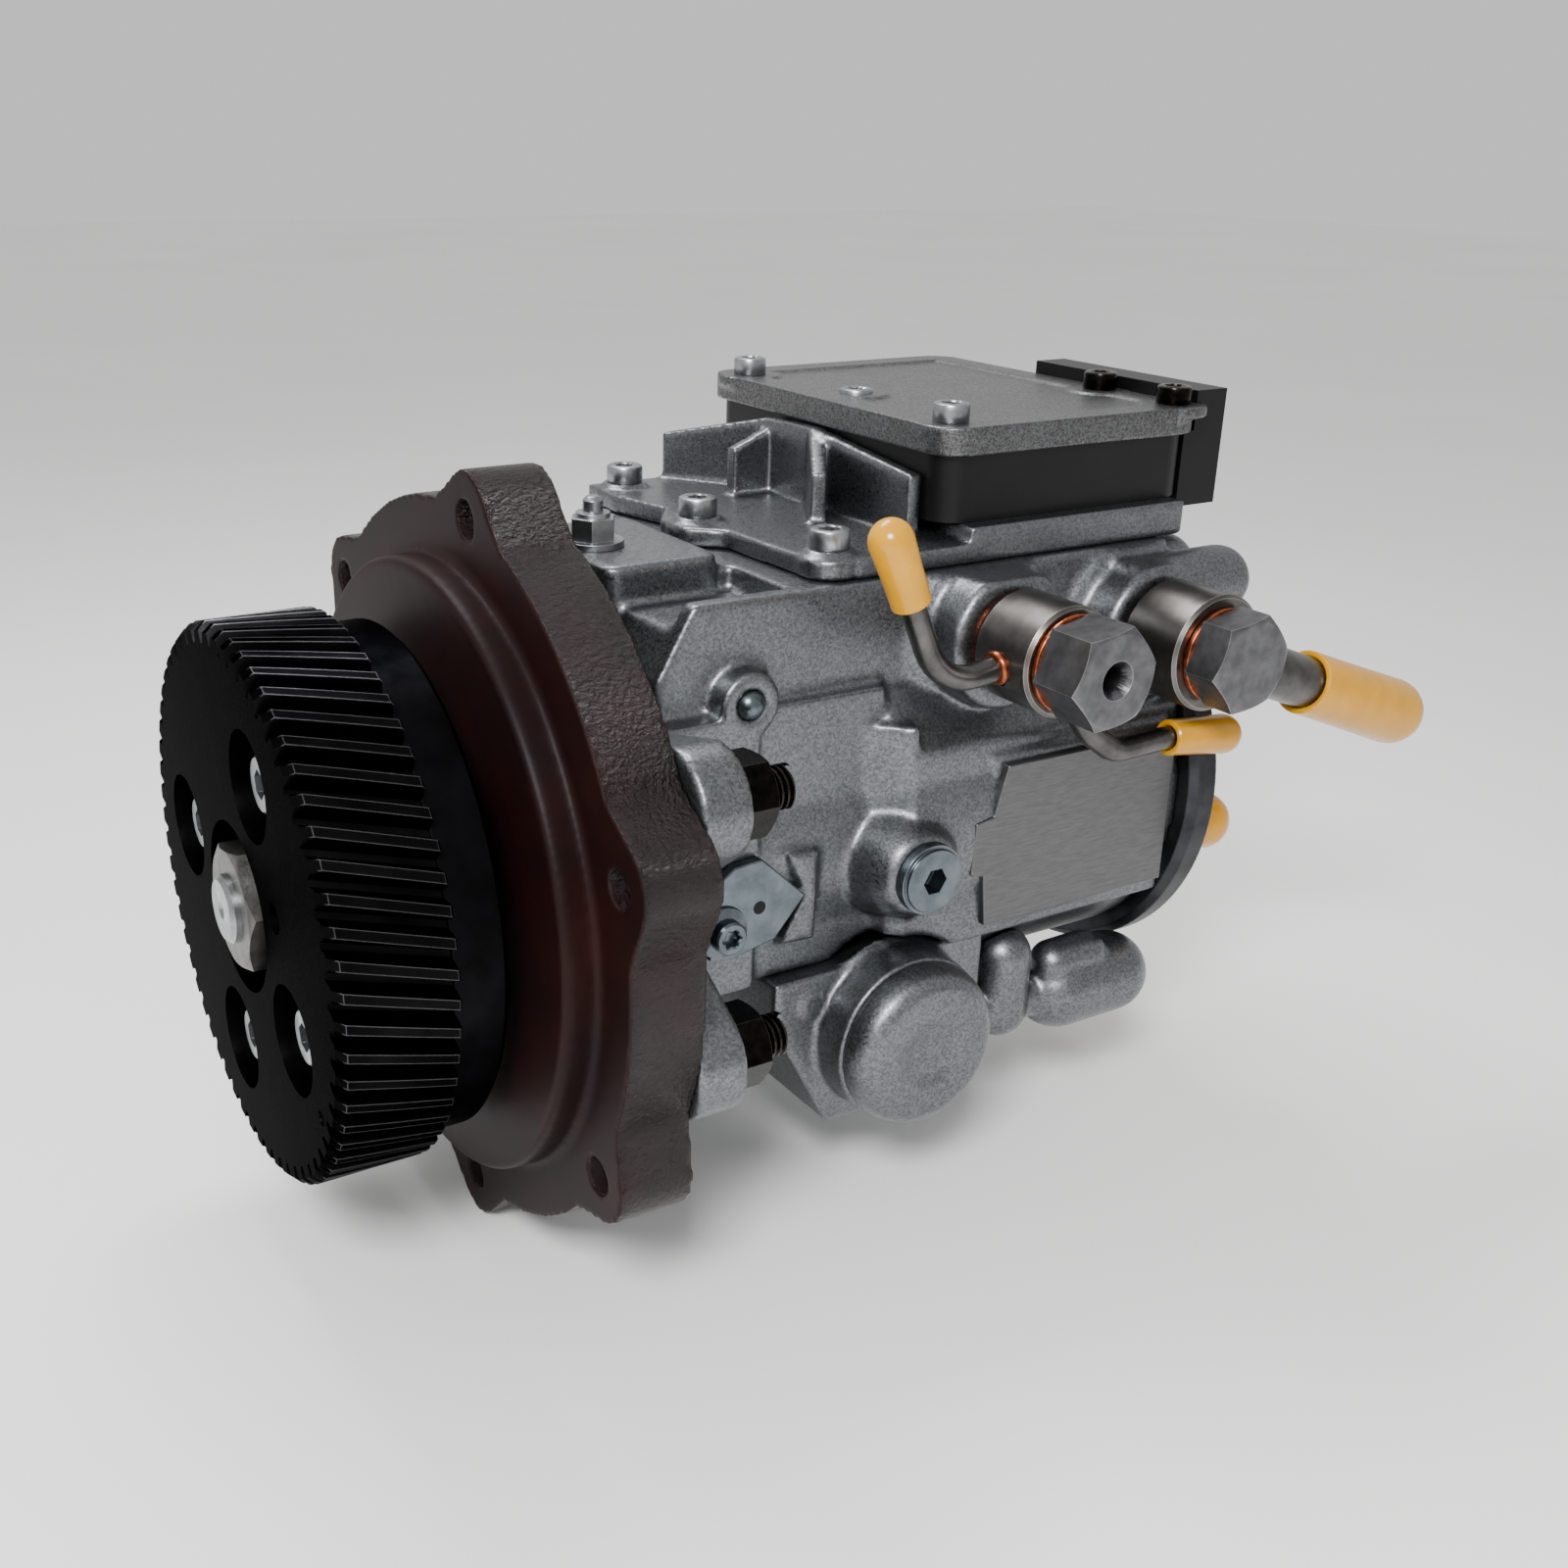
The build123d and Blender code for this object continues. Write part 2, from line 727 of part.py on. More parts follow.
def make_pump_housing():
    nose = nose_r - seat_gap
    body = turned_x(
        (nose_front_x, 0),
        (nose_front_x, nose - 1.0),
        (nose_front_x + 1.0, nose),
        *o_ring_groove(nose_ring_x, nose_r),
        (flange_thickness, nose),
        (flange_thickness, barrel_front_r),
        (shoulder_x - 4.0, barrel_front_r),
        (shoulder_x + 4.0, barrel_rear_r),
        (housing_rear_x, barrel_rear_r),
        (housing_rear_x, 0),
    )
    body += along_x(ear_outline(), flange_thickness, ear_rear_x)
    # Side walls: a shallow recess in front, then the wider part that carries the label pad
    front_wall = block(ear_rear_x, recess_x, -front_block_half_width, front_block_half_width, seam_z, side_top_z)
    recess_wall = block(recess_x, shoulder_x, -recess_half_width, recess_half_width, seam_z, side_top_z)
    rear_outline = Polygon(
        (-rear_block_half_width, seam_z),
        (rear_block_half_width, seam_z),
        (rear_block_half_width, side_top_z - 16.0),
        (deck_half_width - 1.0, side_top_z),
        (-deck_half_width + 1.0, side_top_z),
        (-rear_block_half_width, side_top_z - 16.0),
        align=None,
    )
    rear_wall = along_x(rear_outline, shoulder_x, housing_rear_x)
    rear_wall = chamfer(rear_wall.edges().filter_by(Axis.Z).group_by(Axis.X)[0], 4.0)
    deck_outline = Polygon(
        (deck_front_x, 0),
        (deck_front_x, deck_slope_z),
        (deck_slope_x, deck_z),
        (housing_rear_x, deck_z),
        (housing_rear_x, 0),
        align=None,
    )
    deck = along_y(deck_outline, deck_half_width, -deck_half_width)
    shelf_outline = Polygon(
        (deck_half_width - 4.0, shelf_foot_z),
        (deck_half_width + 2.0, shelf_foot_z),
        (shelf_far_y, deck_z - shelf_thickness),
        (shelf_far_y, deck_z),
        (deck_half_width - 4.0, deck_z),
        align=None,
    )
    shelf = along_x(shelf_outline, shelf_x, housing_rear_x)
    body = body + front_wall + recess_wall + rear_wall + deck + shelf
    # Open pocket beside the ledge, behind the front corner of the near wall
    body -= block(deck_slope_x - 6.0, recess_x + 12.0, -deck_half_width + 5.0, -ledge_y + 2.0, pocket_floor_z, deck_z)
    ledge_x0 = deck_front_x + 2.0
    ledge_outline = Pos(ledge_x0 + ledge_size_x / 2, -ledge_y + ledge_size_y / 2)
    ledge_outline = ledge_outline * RectangleRounded(ledge_size_x, ledge_size_y, 4.0)
    body += along_z(ledge_outline, deck_slope_z, ledge_top_z)
    # Bosses for the two pipe unions
    for x, z in ((return_x, return_z), (inlet_x, inlet_z)):
        boss = turned_y(
            x,
            z,
            (-20.0, 0),
            (-20.0, union_boss_r + 5.0),
            (-deck_half_width - 1.5, union_boss_r + 4.0),
            (-deck_half_width - 3.0, union_boss_r + 0.5),
            (union_face_y + 1.0, union_boss_r),
            (union_face_y, union_boss_r - 1.5),
            (union_face_y, 0),
        )
        body += boss & block(shoulder_x, housing_rear_x, union_face_y, 0, 0, deck_z - 0.5)
    # Rounded casting behind the bracket, towards the outlets
    lobe = rod_x(housing_rear_x - 40.0, rear_lobe_end_x - rear_lobe_r, rear_lobe_r, rear_lobe_y, rear_lobe_z)
    lobe += Pos(rear_lobe_end_x - rear_lobe_r, rear_lobe_y, rear_lobe_z) * Sphere(rear_lobe_r)
    lobe -= rod_x(housing_rear_x, rear_lobe_end_x, head_flange_r + 0.4)
    body += lobe
    # Boss of the side plug, ring of the ball plug, label pad and the stop of the lock plate
    plug_root_y = -recess_half_width
    body += turned_y(
        side_plug_x,
        side_plug_z,
        (plug_root_y, 0),
        (plug_root_y, side_plug_boss_r + 3.0),
        (-rear_block_half_width - 1.0, side_plug_boss_r + 0.5),
        (side_plug_face_y + 5.0, side_plug_boss_r - 1.5),
        (side_plug_face_y + 3.5, side_plug_boss_r - 3.0),
        (side_plug_face_y + 3.5, 0),
    )
    body += rod_y(-deck_half_width + 4.0, -front_block_half_width - 0.6, ball_ring_r, ball_plug_x, ball_plug_z)
    body += make_label_pad()
    body += make_lock_stop()
    # The part below the seam belongs to the timing housing
    body -= block(timing_x0, timing_x1, -60, 60, timing_bottom_z, seam_z)
    body -= rod_y(0, union_end_y, timing_boss_r + 2.4, cam_x, timing_axis_z)
    body -= inner_space()
    for y, z in stud_places:
        body -= rod_x(flange_thickness, ear_rear_x, stud_r + 0.5, y, z)
        # Room for the nut and its spanner behind each ear
        body -= rod_x(ear_rear_x, ear_rear_x + 18.0, ear_r - 1.0, y, z)
    for x, z in ((return_x, return_z), (inlet_x, inlet_z)):
        body -= rod_y(union_face_y + union_bolt_length - union_length, union_face_y, union_bolt_shank_r, x, z)
        body -= rod_y(union_face_y, union_end_y, union_boss_r - 0.5, x, z)
    body -= rod_y(-deck_half_width + 4.0, -front_block_half_width - 0.6, ball_r, ball_plug_x, ball_plug_z)
    body -= rod_y(-rear_block_half_width + 6.0, side_plug_face_y, side_plug_r, side_plug_x, side_plug_z)
    for x, y in bracket_screw_places:
        body -= rod_z(deck_z - 14.0, deck_z, screw_shank_r, x, y)
    for angle in head_screw_angles:
        y, z = on_circle(head_screw_circle_r, angle)
        body -= rod_x(housing_rear_x - 14.0, housing_rear_x, head_screw_r, y, z)
    body -= rod_z(ledge_top_z - 20.0, ledge_top_z, screw_shank_r, lock_screw_x, lock_screw_y)
    body -= lock_plate_screw_hole()
    return body


def make_label_pad():
    """Raised bare pad whose front edge steps in and out."""
    outline = Polygon(
        (label_x0 + 1.0, label_z1),
        (label_x1, label_z1),
        (label_x1, label_z0),
        (label_x0, label_z0),
        (label_x0 - 5.0, label_z0 + 14.0),
        (label_x0 - 4.0, label_z0 + 28.0),
        (label_x0 + 3.0, label_z0 + 29.0),
        (label_x0 + 4.0, label_z0 + 40.0),
        align=None,
    )
    return along_y(outline, -rear_block_half_width + 1.0, -rear_block_half_width - label_height)


def make_lock_stop():
    """V-shaped cast stop that the lock plate's nose points into."""
    outline = Polygon(
        (64.5, 6.0),
        (73.0, 5.5),
        (73.0, -18.0),
        (63.0, -17.5),
        (70.0, -5.5),
        align=None,
    )
    return along_y(outline, -recess_half_width + 1.0, -recess_half_width - 5.0)


def lock_plate_screw_hole():
    return rod_y(-recess_half_width + 12.0, -front_block_half_width - 1.0, 2.5, 49.0, -9.0)


def make_lock_plate():
    outline = Polygon(
        (44.0, 6.5),
        (56.5, 6.5),
        (69.2, -5.3),
        (59.5, -17.0),
        (44.0, -17.0),
        align=None,
    )
    y0 = -front_block_half_width
    plate = along_y(outline, y0, y0 - lock_plate_thickness)
    plate -= rod_y(y0, y0 - lock_plate_thickness, 1.5, 57.0, -5.0)
    return plate - rod_y(y0, y0 - lock_plate_thickness, 2.7, 49.0, -9.0)


def make_lock_plate_screw():
    y0 = -front_block_half_width - lock_plate_thickness
    washer = rod_y(y0, y0 - 1.2, 5.2, 49.0, -9.0)
    head = along_y(Pos(49.0, -9.0) * RegularPolygon(4.0, 6, major_radius=False), y0 - 1.2, y0 - 4.8)
    shank = rod_y(y0 + 12.0, y0, 2.45, 49.0, -9.0)
    socket = rod_y(y0 - 3.0, y0 - 4.8, 2.0, 49.0, -9.0)
    return washer + head + shank - socket


def make_ball_plug():
    y = -front_block_half_width - 0.6 + 1.4
    return Pos(ball_plug_x, y + 0.4, ball_plug_z) * Sphere(ball_r - 0.02)


def make_side_plug():
    y0 = side_plug_face_y + 3.5
    flange = rod_y(y0, side_plug_face_y + 1.0, side_plug_r + 1.6, side_plug_x, side_plug_z)
    head = rod_y(side_plug_face_y + 1.0, side_plug_face_y, side_plug_r + 0.6, side_plug_x, side_plug_z)
    shank = rod_y(y0 + 8.0, y0, side_plug_r - 0.05, side_plug_x, side_plug_z)
    socket_sketch = Pos(side_plug_x, side_plug_z) * RegularPolygon(3.0, 6, major_radius=False)
    return flange + head + shank - along_y(socket_sketch, side_plug_face_y + 5.0, side_plug_face_y)


def make_small_plugs():
    return group([make_ball_plug(), make_side_plug()])


def make_lock_screw():
    """Screw with a sealing nut and washers on the ledge, which locks the shaft for removal."""
    z = ledge_top_z
    x, y = lock_screw_x, lock_screw_y
    washer = rod_z(z, z + 1.6, 7.5, x, y)
    nut = along_z(Pos(x, y) * RegularPolygon(5.0, 6, major_radius=False), z + 1.6, z + 7.0)
    collar = rod_z(z + 7.0, z + 8.2, 4.2, x, y)
    tip = turned_z(x, y, (z + 8.2, 0), (z + 8.2, 2.5), (z + 11.0, 2.5), (z + 12.0, 1.5), (z + 12.0, 0))
    shank = rod_z(z - 18.0, z, screw_shank_r - 0.05, x, y)
    return washer + nut + collar + tip + shank


# Vane pump


def make_supply_ring():
    ring = rod_x(pump_bore_x, pump_ring_x1, pump_bore_r - seat_gap)
    ring -= rod_x(pump_bore_x, pump_ring_x1, pump_ring_bore_r, 0, pump_eccentricity)
    for angle in pump_screw_angles:
        y, z = on_circle(pump_screw_circle_r, angle)
        ring -= rod_x(pump_bore_x, pump_ring_x1, pump_screw_r, y, z)
    return ring


def vane_slots(depth_r, outer_r, extra):
    slots = []
    for index in range(vane_count):
        slot = block(
            pump_bore_x + running_gap - extra,
            pump_ring_x1 - running_gap + extra,
            -vane_thickness / 2 - extra,
            vane_thickness / 2 + extra,
            depth_r,
            outer_r,
        )
        slots.append(Rot(360 / vane_count * index, 0, 0) * slot)
    return slots


def make_supply_rotor():
    rotor = rod_x(pump_bore_x + loose_gap, pump_ring_x1 - loose_gap, pump_rotor_r)
    rotor -= rod_x(pump_bore_x, pump_ring_x1, shaft_r)
    for slot in vane_slots(pump_rotor_r - 7.0, pump_rotor_r + 1.0, running_gap):
        rotor -= slot
    return rotor


def make_supply_vanes():
    reach = pump_ring_bore_r - pump_eccentricity - loose_gap
    inset = loose_gap
    vanes = []
    for slot in vane_slots(pump_rotor_r - 6.5, reach, 0.0):
        trim = block(pump_bore_x + inset, pump_ring_x1 - inset, -40, 40, -40, 40)
        vanes.append(slot & trim)
    return group(vanes)


def make_supply_cover():
    cover = rod_x(pump_ring_x1, pump_cover_x1, pump_bore_r - seat_gap)
    cover -= rod_x(pump_ring_x1, pump_cover_x1, shaft_r + loose_gap)
    for angle in pump_screw_angles:
        y, z = on_circle(pump_screw_circle_r, angle)
        cover -= rod_x(pump_ring_x1, pump_cover_x1, pump_screw_r, y, z)
    return cover


# Small screws


def small_screw(x0, x1, y, z):
    """Pan-head screw along X, its shank between x0 and x1."""
    screw = rod_x(x0, x1, pump_screw_r - 0.05, y, z) + rod_x(x1, x1 + 2.4, pump_screw_r + 1.4, y, z)
    return screw - rod_x(x1 + 1.0, x1 + 2.4, 1.4, y, z)


def make_small_screws():
    """Screws of the vane pump, of the solenoid clamp and of the lock plate."""
    screws = []
    for angle in pump_screw_angles:
        screws.append(small_screw(pump_bore_x, pump_cover_x1, *on_circle(pump_screw_circle_r, angle)))
    for z in (clamp_screw_z, -clamp_screw_z):
        screws.append(small_screw(head_rear_x - 4.0, head_rear_x + clamp_thickness, 0, z))
    screws.append(make_lock_plate_screw())
    return group(screws)


# Injection cam, rollers and rotor


def make_cam_ring():
    steps = 96
    points = []
    for step in range(steps):
        angle = 360 / steps * step
        radius = cam_base_r - cam_lobe_lift * (0.5 + 0.5 * cos(radians(cam_lobes * angle)))
        points.append(on_circle(radius, angle))
    inner = make_face(Spline(*points, periodic=True))
    ring = rod_x(cam_front_x, cam_rear_x, cam_bore_r - running_gap)
    ring -= along_x(inner, cam_front_x, cam_rear_x)
    return ring - rod_z(-cam_bore_r, 0, cam_pin_r, cam_x, 0)


def make_cam_pin():
    stem = rod_z(timing_axis_z, -cam_base_r - 0.5, cam_pin_r - 0.02, cam_x, 0)
    ball = Pos(cam_x, 0, timing_axis_z) * Sphere(cam_ball_r)
    return stem + ball


def make_angle_sensor():
    """Pick-up that rides on the cam ring and reads the toothed wheel."""
    inner_r = sensor_wheel_r + 0.8
    body = block(sensor_wheel_x - 4.0, cam_front_x, -5.0, 5.0, inner_r, inner_r + 4.5)
    foot = block(cam_front_x - 2.0, cam_front_x, -9.0, 9.0, inner_r, cam_bore_r - 2.6)
    return body + foot


def make_sensor_wheel():
    x0 = sensor_wheel_x - sensor_wheel_thickness / 2
    x1 = sensor_wheel_x + sensor_wheel_thickness / 2
    wheel = rod_x(x0, x1, sensor_wheel_r) - rod_x(x0, x1, shaft_r)
    gap = block(x0, x1, -1.5, 1.5, sensor_wheel_r - 3.0, sensor_wheel_r + 1.0)
    for index in range(sensor_wheel_teeth):
        wheel -= Rot(360 / sensor_wheel_teeth * index, 0, 0) * gap
    return wheel


def make_cam_rollers():
    rollers = []
    for index in range(cam_lobes):
        y, z = on_circle(roller_place_r, 360 / cam_lobes * index)
        rollers.append(rod_x(cam_x - roller_length / 2, cam_x + roller_length / 2, roller_r, y, z))
    return group(rollers)


def shoe_outline(extra):
    """Seat of one roller, drawn on the +Y side."""
    width = 2 * roller_r + 2.0 + 2 * extra
    seat = Pos((rotor_carrier_r + 15.0) / 2 + 1.0, 0)
    return seat * Rectangle(rotor_carrier_r - 13.0 + 2 * extra, width)


def make_roller_shoes():
    shoes = []
    half = roller_length / 2
    for index in range(cam_lobes):
        shoe = along_x(shoe_outline(0.0), cam_x - half, cam_x + half)
        shoe -= rod_x(cam_x - half, cam_x + half, roller_r + 0.05, roller_place_r, 0)
        shoe = max(shoe.solids(), key=lambda solid: solid.volume)
        shoes.append(Rot(360 / cam_lobes * index, 0, 0) * Part(shoe.wrapped))
    return group(shoes)


def plunger_length():
    return 15.0 - plunger_inner_r


def make_pump_plungers():
    plungers = []
    for index in range(cam_lobes):
        rod = Pos(cam_x, plunger_inner_r + plunger_length() / 2, 0) * Rot(90, 0, 0)
        plunger = rod * Cylinder(plunger_r - 0.02, plunger_length())
        plungers.append(Rot(360 / cam_lobes * index, 0, 0) * plunger)
    return group(plungers)


def make_distributor_rotor():
    end_x = housing_rear_x - 1.0
    rotor = turned_x(
        (rotor_front_x, 0),
        (rotor_front_x, rotor_carrier_r),
        (rotor_back_x, rotor_carrier_r),
        (rotor_back_x, rotor_r + 4.0),
        (rotor_back_x + 4.0, rotor_r + 4.0),
        (rotor_back_x + 4.0, rotor_r - running_gap),
        (end_x, rotor_r - running_gap),
        (end_x, 0),
    )
    half = roller_length / 2 + 0.1
    for index in range(cam_lobes):
        turn = Rot(360 / cam_lobes * index, 0, 0)
        rotor -= turn * along_x(shoe_outline(0.1), cam_x - half, cam_x + half)
        hole = Pos(cam_x, plunger_inner_r / 2 + 7.5, 0) * Rot(90, 0, 0) * Cylinder(plunger_r, 15.0 - plunger_inner_r + 1)
        rotor -= turn * hole
    rotor -= block(rotor_front_x, rotor_front_x + 3.2, -3.1, 3.1, -10.2, 10.2)
    rotor -= rod_x(cam_x + 6.0, end_x, 1.5)
    return rotor


# Distributor head


def make_distributor_head():
    stem_x = rotor_back_x + 4.0 + 1.0
    head = turned_x(
        (stem_x, rotor_r),
        (stem_x, head_stem_r),
        (head_stem_end_x, head_stem_r),
        (head_stem_end_x, head_bore_r - seat_gap),
        *o_ring_groove(head_ring_x, head_bore_r),
        (housing_rear_x, head_bore_r - seat_gap),
        (housing_rear_x, head_flange_r - 2.0),
        (housing_rear_x + 2.0, head_flange_r),
        (head_flange_x - 2.0, head_flange_r),
        (head_flange_x, head_flange_r - 2.0),
        (head_flange_x, head_boss_r),
        (head_rear_x, head_boss_r - 2.0),
        (head_rear_x, rotor_r),
    )
    head -= rod_x(head_rear_x - solenoid_depth, head_rear_x, solenoid_r)
    # Relief in the rim beside the inlet union
    head -= rod_y(union_face_y + 4.0, union_end_y, inlet_union_r + 0.8, inlet_x, inlet_z)
    for angle in outlet_angles:
        y, z = on_circle(outlet_circle_r, angle)
        head -= rod_x(head_rear_x - outlet_depth, head_rear_x, outlet_thread_r, y, z)
    for z in (clamp_screw_z, -clamp_screw_z):
        head -= rod_x(head_rear_x - 5.0, head_rear_x, pump_screw_r, 0, z)
    for angle in head_screw_angles:
        y, z = on_circle(head_screw_circle_r, angle)
        head -= rod_x(housing_rear_x, head_rear_x, head_screw_r + 0.3, y, z)
        head -= rod_x(head_flange_x - 4.0, head_rear_x, screw_head_r + 0.6, y, z)
    return head


def head_screw(angle):
    """Cap screw along X that holds the distributor head."""
    y, z = on_circle(head_screw_circle_r, angle)
    seat = head_flange_x - 4.0
    top = seat + screw_head_height + 1.0
    screw = rod_x(housing_rear_x - 13.0, seat, head_screw_r - 0.05, y, z)
    screw += rod_x(seat, top, screw_head_r, y, z)
    return screw - rod_x(top - 2.6, top, 2.6, y, z)


def make_valve_holders():
    """Outlet unions, each screwed into the head with a bore for its valve."""
    x0 = head_rear_x - outlet_depth
    hex_x1 = head_rear_x + outlet_hex_height
    tip_x = hex_x1 + outlet_nipple_length
    holders = []
    for angle in outlet_angles:
        y, z = on_circle(outlet_circle_r, angle)
        holder = turned_x(
            (x0, outlet_bore_r),
            (x0, outlet_thread_r - 0.02),
            (head_rear_x, outlet_thread_r - 0.02),
            (head_rear_x, outlet_nipple_r - 0.5),
            (hex_x1, outlet_nipple_r - 0.5),
            (hex_x1, outlet_nipple_r),
            (tip_x - 1.0, outlet_nipple_r),
            (tip_x, outlet_nipple_r - 1.0),
            (tip_x, 2.6),
            (tip_x - 3.0, 1.2),
            (tip_x - 8.0, 1.2),
            (tip_x - 8.0, outlet_bore_r),
        )
        nut = bevelled_hex_x(head_rear_x, hex_x1, outlet_hex, turn=15, bevel_front=False, bevel_rear=True)
        nut -= rod_x(head_rear_x, hex_x1, outlet_nipple_r - 0.6)
        holders.append(Pos(0, y, z) * (holder + nut))
    return group(holders)


def make_delivery_valve(angle):
    y, z = on_circle(outlet_circle_r, angle)
    x0 = head_rear_x - outlet_depth + 1.0
    valve = turned_x(
        (x0, 0),
        (x0, 2.2),
        (x0 + delivery_valve_length - 2.0, 2.2),
        (x0 + delivery_valve_length - 1.5, outlet_bore_r - running_gap),
        (x0 + delivery_valve_length, outlet_bore_r - running_gap),
        (x0 + delivery_valve_length, 0),
    )
    return Pos(0, y, z) * valve


def coil(length, radius, wire_r, turns):
    """Spring along Z from the origin, with its wire on a helix."""
    path = Helix(pitch=length / turns, height=length, radius=radius)
    section = Plane(origin=path @ 0, z_dir=path % 0) * RegularPolygon(wire_r, 6)
    return sweep(section, path=path)


def make_delivery_springs():
    x0 = head_rear_x - outlet_depth + 1.0 + delivery_valve_length + 0.1
    spring = Rot(0, 90, 0) * coil(delivery_spring_length, outlet_bore_r - 0.9, 0.45, 4)
    springs = []
    for angle in outlet_angles:
        y, z = on_circle(outlet_circle_r, angle)
        springs.append(Pos(x0 + 1.1, y, z) * spring)
    return group(springs)


def pipe_cap(length, inner_r, depth):
    """Dipped cap along X from the origin, closed at the far end."""
    outer_r = inner_r + cap_wall
    dome = outer_r * 0.8
    return turned_x(
        (0, inner_r),
        (0, outer_r - 0.4),
        (0.4, outer_r),
        (length - dome, outer_r),
        (length - dome * 0.35, outer_r * 0.82),
        (length - dome * 0.08, outer_r * 0.5),
        (length, 0),
        (depth, 0),
        (depth, inner_r),
    )


def make_outlet_caps():
    hex_x1 = head_rear_x + outlet_hex_height
    inner = outlet_nipple_r + 0.05
    cap = pipe_cap(outlet_nipple_length + 7.0, inner, outlet_nipple_length + 0.3)
    caps = []
    for angle in outlet_angles:
        y, z = on_circle(outlet_circle_r, angle)
        caps.append(Pos(hex_x1 + 0.2, y, z) * cap)
    return group(caps)


# High-pressure solenoid valve


def make_solenoid_body():
    x0 = head_rear_x - solenoid_depth
    x1 = head_rear_x + solenoid_coil_length
    inner = solenoid_needle_r + running_gap
    return turned_x(
        (x0, inner),
        (x0, solenoid_r - seat_gap),
        (head_rear_x, solenoid_r - seat_gap),
        (head_rear_x, solenoid_coil_r),
        (x1 - 1.5, solenoid_coil_r),
        (x1, solenoid_coil_r - 1.5),
        (x1, 0),
        (x1 - 3.0, 0),
        (x1 - 3.0, 8.0),
        (x1 - 6.0, 8.0),
        (x1 - 6.0, inner),
    )


def make_solenoid_needle():
    x0 = head_rear_x - solenoid_depth + 1.0
    x1 = head_rear_x + solenoid_coil_length
    return turned_x(
        (x0, 0),
        (x0 + 1.5, solenoid_needle_r),
        (x1 - 5.5, solenoid_needle_r),
        (x1 - 5.5, 7.0),
        (x1 - 3.0 - solenoid_stroke - 0.3, 7.0),
        (x1 - 3.0 - solenoid_stroke - 0.3, 0),
    )


def make_solenoid_clamp():
    """Two-armed plate that holds the solenoid valve in the head."""
    x0 = head_rear_x
    x1 = x0 + clamp_thickness
    arms = Rot(0, 0, 90) * SlotOverall(2 * clamp_screw_z + 12.0, 12.0)
    plate = along_x(arms + Circle(solenoid_coil_r + 4.0), x0, x1)
    plate -= rod_x(x0, x1, solenoid_coil_r + seat_gap)
    for z in (clamp_screw_z, -clamp_screw_z):
        plate -= rod_x(x0, x1, pump_screw_r, 0, z)
    return plate


# Control unit and bracket


def web(start, end, base_z, start_z, end_z, thickness):
    """Upright rib between two places in plan, with a sloping top."""
    run = ((end[0] - start[0]) ** 2 + (end[1] - start[1]) ** 2) ** 0.5
    turn = degrees(atan2(end[1] - start[1], end[0] - start[0]))
    outline = Polygon((0, base_z), (run, base_z), (run, end_z), (0, start_z), align=None)
    rib = along_y(outline, thickness / 2, -thickness / 2)
    return Pos(start[0], start[1], 0) * Rot(0, 0, turn) * rib


def make_cooling_bracket():
    near_y = -bracket_half_width
    outline = Polygon(
        (88.0, near_y),
        (bracket_rear_x, near_y),
        (bracket_rear_x, bracket_far_y),
        (72.0, bracket_far_y),
        (70.5, 52.0),
        (75.5, 32.0),
        (68.0, 21.0),
        (68.0, 9.0),
        (76.0, 2.0),
        (77.5, -30.0),
        align=None,
    )
    lugs = [Pos(x, y) * Circle(bracket_lug_r) for x, y in bracket_screw_places[:3]]
    bracket = along_z(one([outline, *lugs]), deck_z, bracket_top_z)
    pad_outline = Polygon(
        (bracket_step_x, near_y),
        (bracket_rear_x, near_y),
        (bracket_rear_x, bracket_far_y),
        (110.0, bracket_far_y),
        (110.0, 36.0),
        (bracket_step_x, 34.0),
        align=None,
    )
    bracket += along_z(pad_outline, deck_z, unit_floor_z)
    top_z = unit_plate_z - 0.4
    floor = bracket_top_z - 1.0
    bracket += web((108.0, 68.0), (108.0, 36.0), floor, top_z - 8.0, top_z - 2.0, rib_thickness)
    bracket += web((98.0, 37.0), (114.0, 37.0), floor, top_z - 9.0, top_z - 2.0, rib_thickness)
    bracket += web((111.5, 38.0), (107.0, 5.0), floor, top_z - 1.0, top_z, rib_thickness)
    bracket += web((105.0, 4.5), (114.5, -4.0), floor, top_z, top_z - 6.0, rib_thickness)
    bracket += web((110.0, 0.0), (126.0, -32.0), floor, top_z - 3.0, top_z - 12.0, rib_thickness)
    bracket -= unit_space(0.3)
    for x, y in bracket_screw_places[:3]:
        bracket += rod_z(deck_z, bracket_top_z + 1.5, screw_head_r + 1.0, x, y)
    for x, y in bracket_screw_places:
        bracket -= rod_z(deck_z, bracket_top_z + 60.0, screw_shank_r + 0.3, x, y)
        if x > bracket_step_x:
            bracket -= rod_z(unit_floor_z - screw_head_height - 0.4, unit_floor_z, screw_head_r + 0.4, x, y)
    return bracket


def make_housing_screws():
    """The same cap screws hold the cast bracket and the distributor head."""
    screws = [head_screw(angle) for angle in head_screw_angles]
    for x, y in bracket_screw_places:
        seat = bracket_top_z + 1.5
        if x > bracket_step_x:
            seat = unit_floor_z - screw_head_height - 0.4
        screws.append(socket_screw(x, y, seat, seat - deck_z + 12.0))
    return group(screws)


def socket_screw(x, y, seat_z, length):
    """Cheese-head screw along Z with a round drive recess."""
    top_z = seat_z + screw_head_height
    screw = turned_z(
        x,
        y,
        (seat_z - length, 0),
        (seat_z - length, screw_shank_r - 0.05),
        (seat_z, screw_shank_r - 0.05),
        (seat_z, screw_head_r),
        (top_z - 0.5, screw_head_r),
        (top_z, screw_head_r - 0.5),
        (top_z, 0),
    )
    return screw - rod_z(top_z - 2.6, top_z, 2.6, x, y)


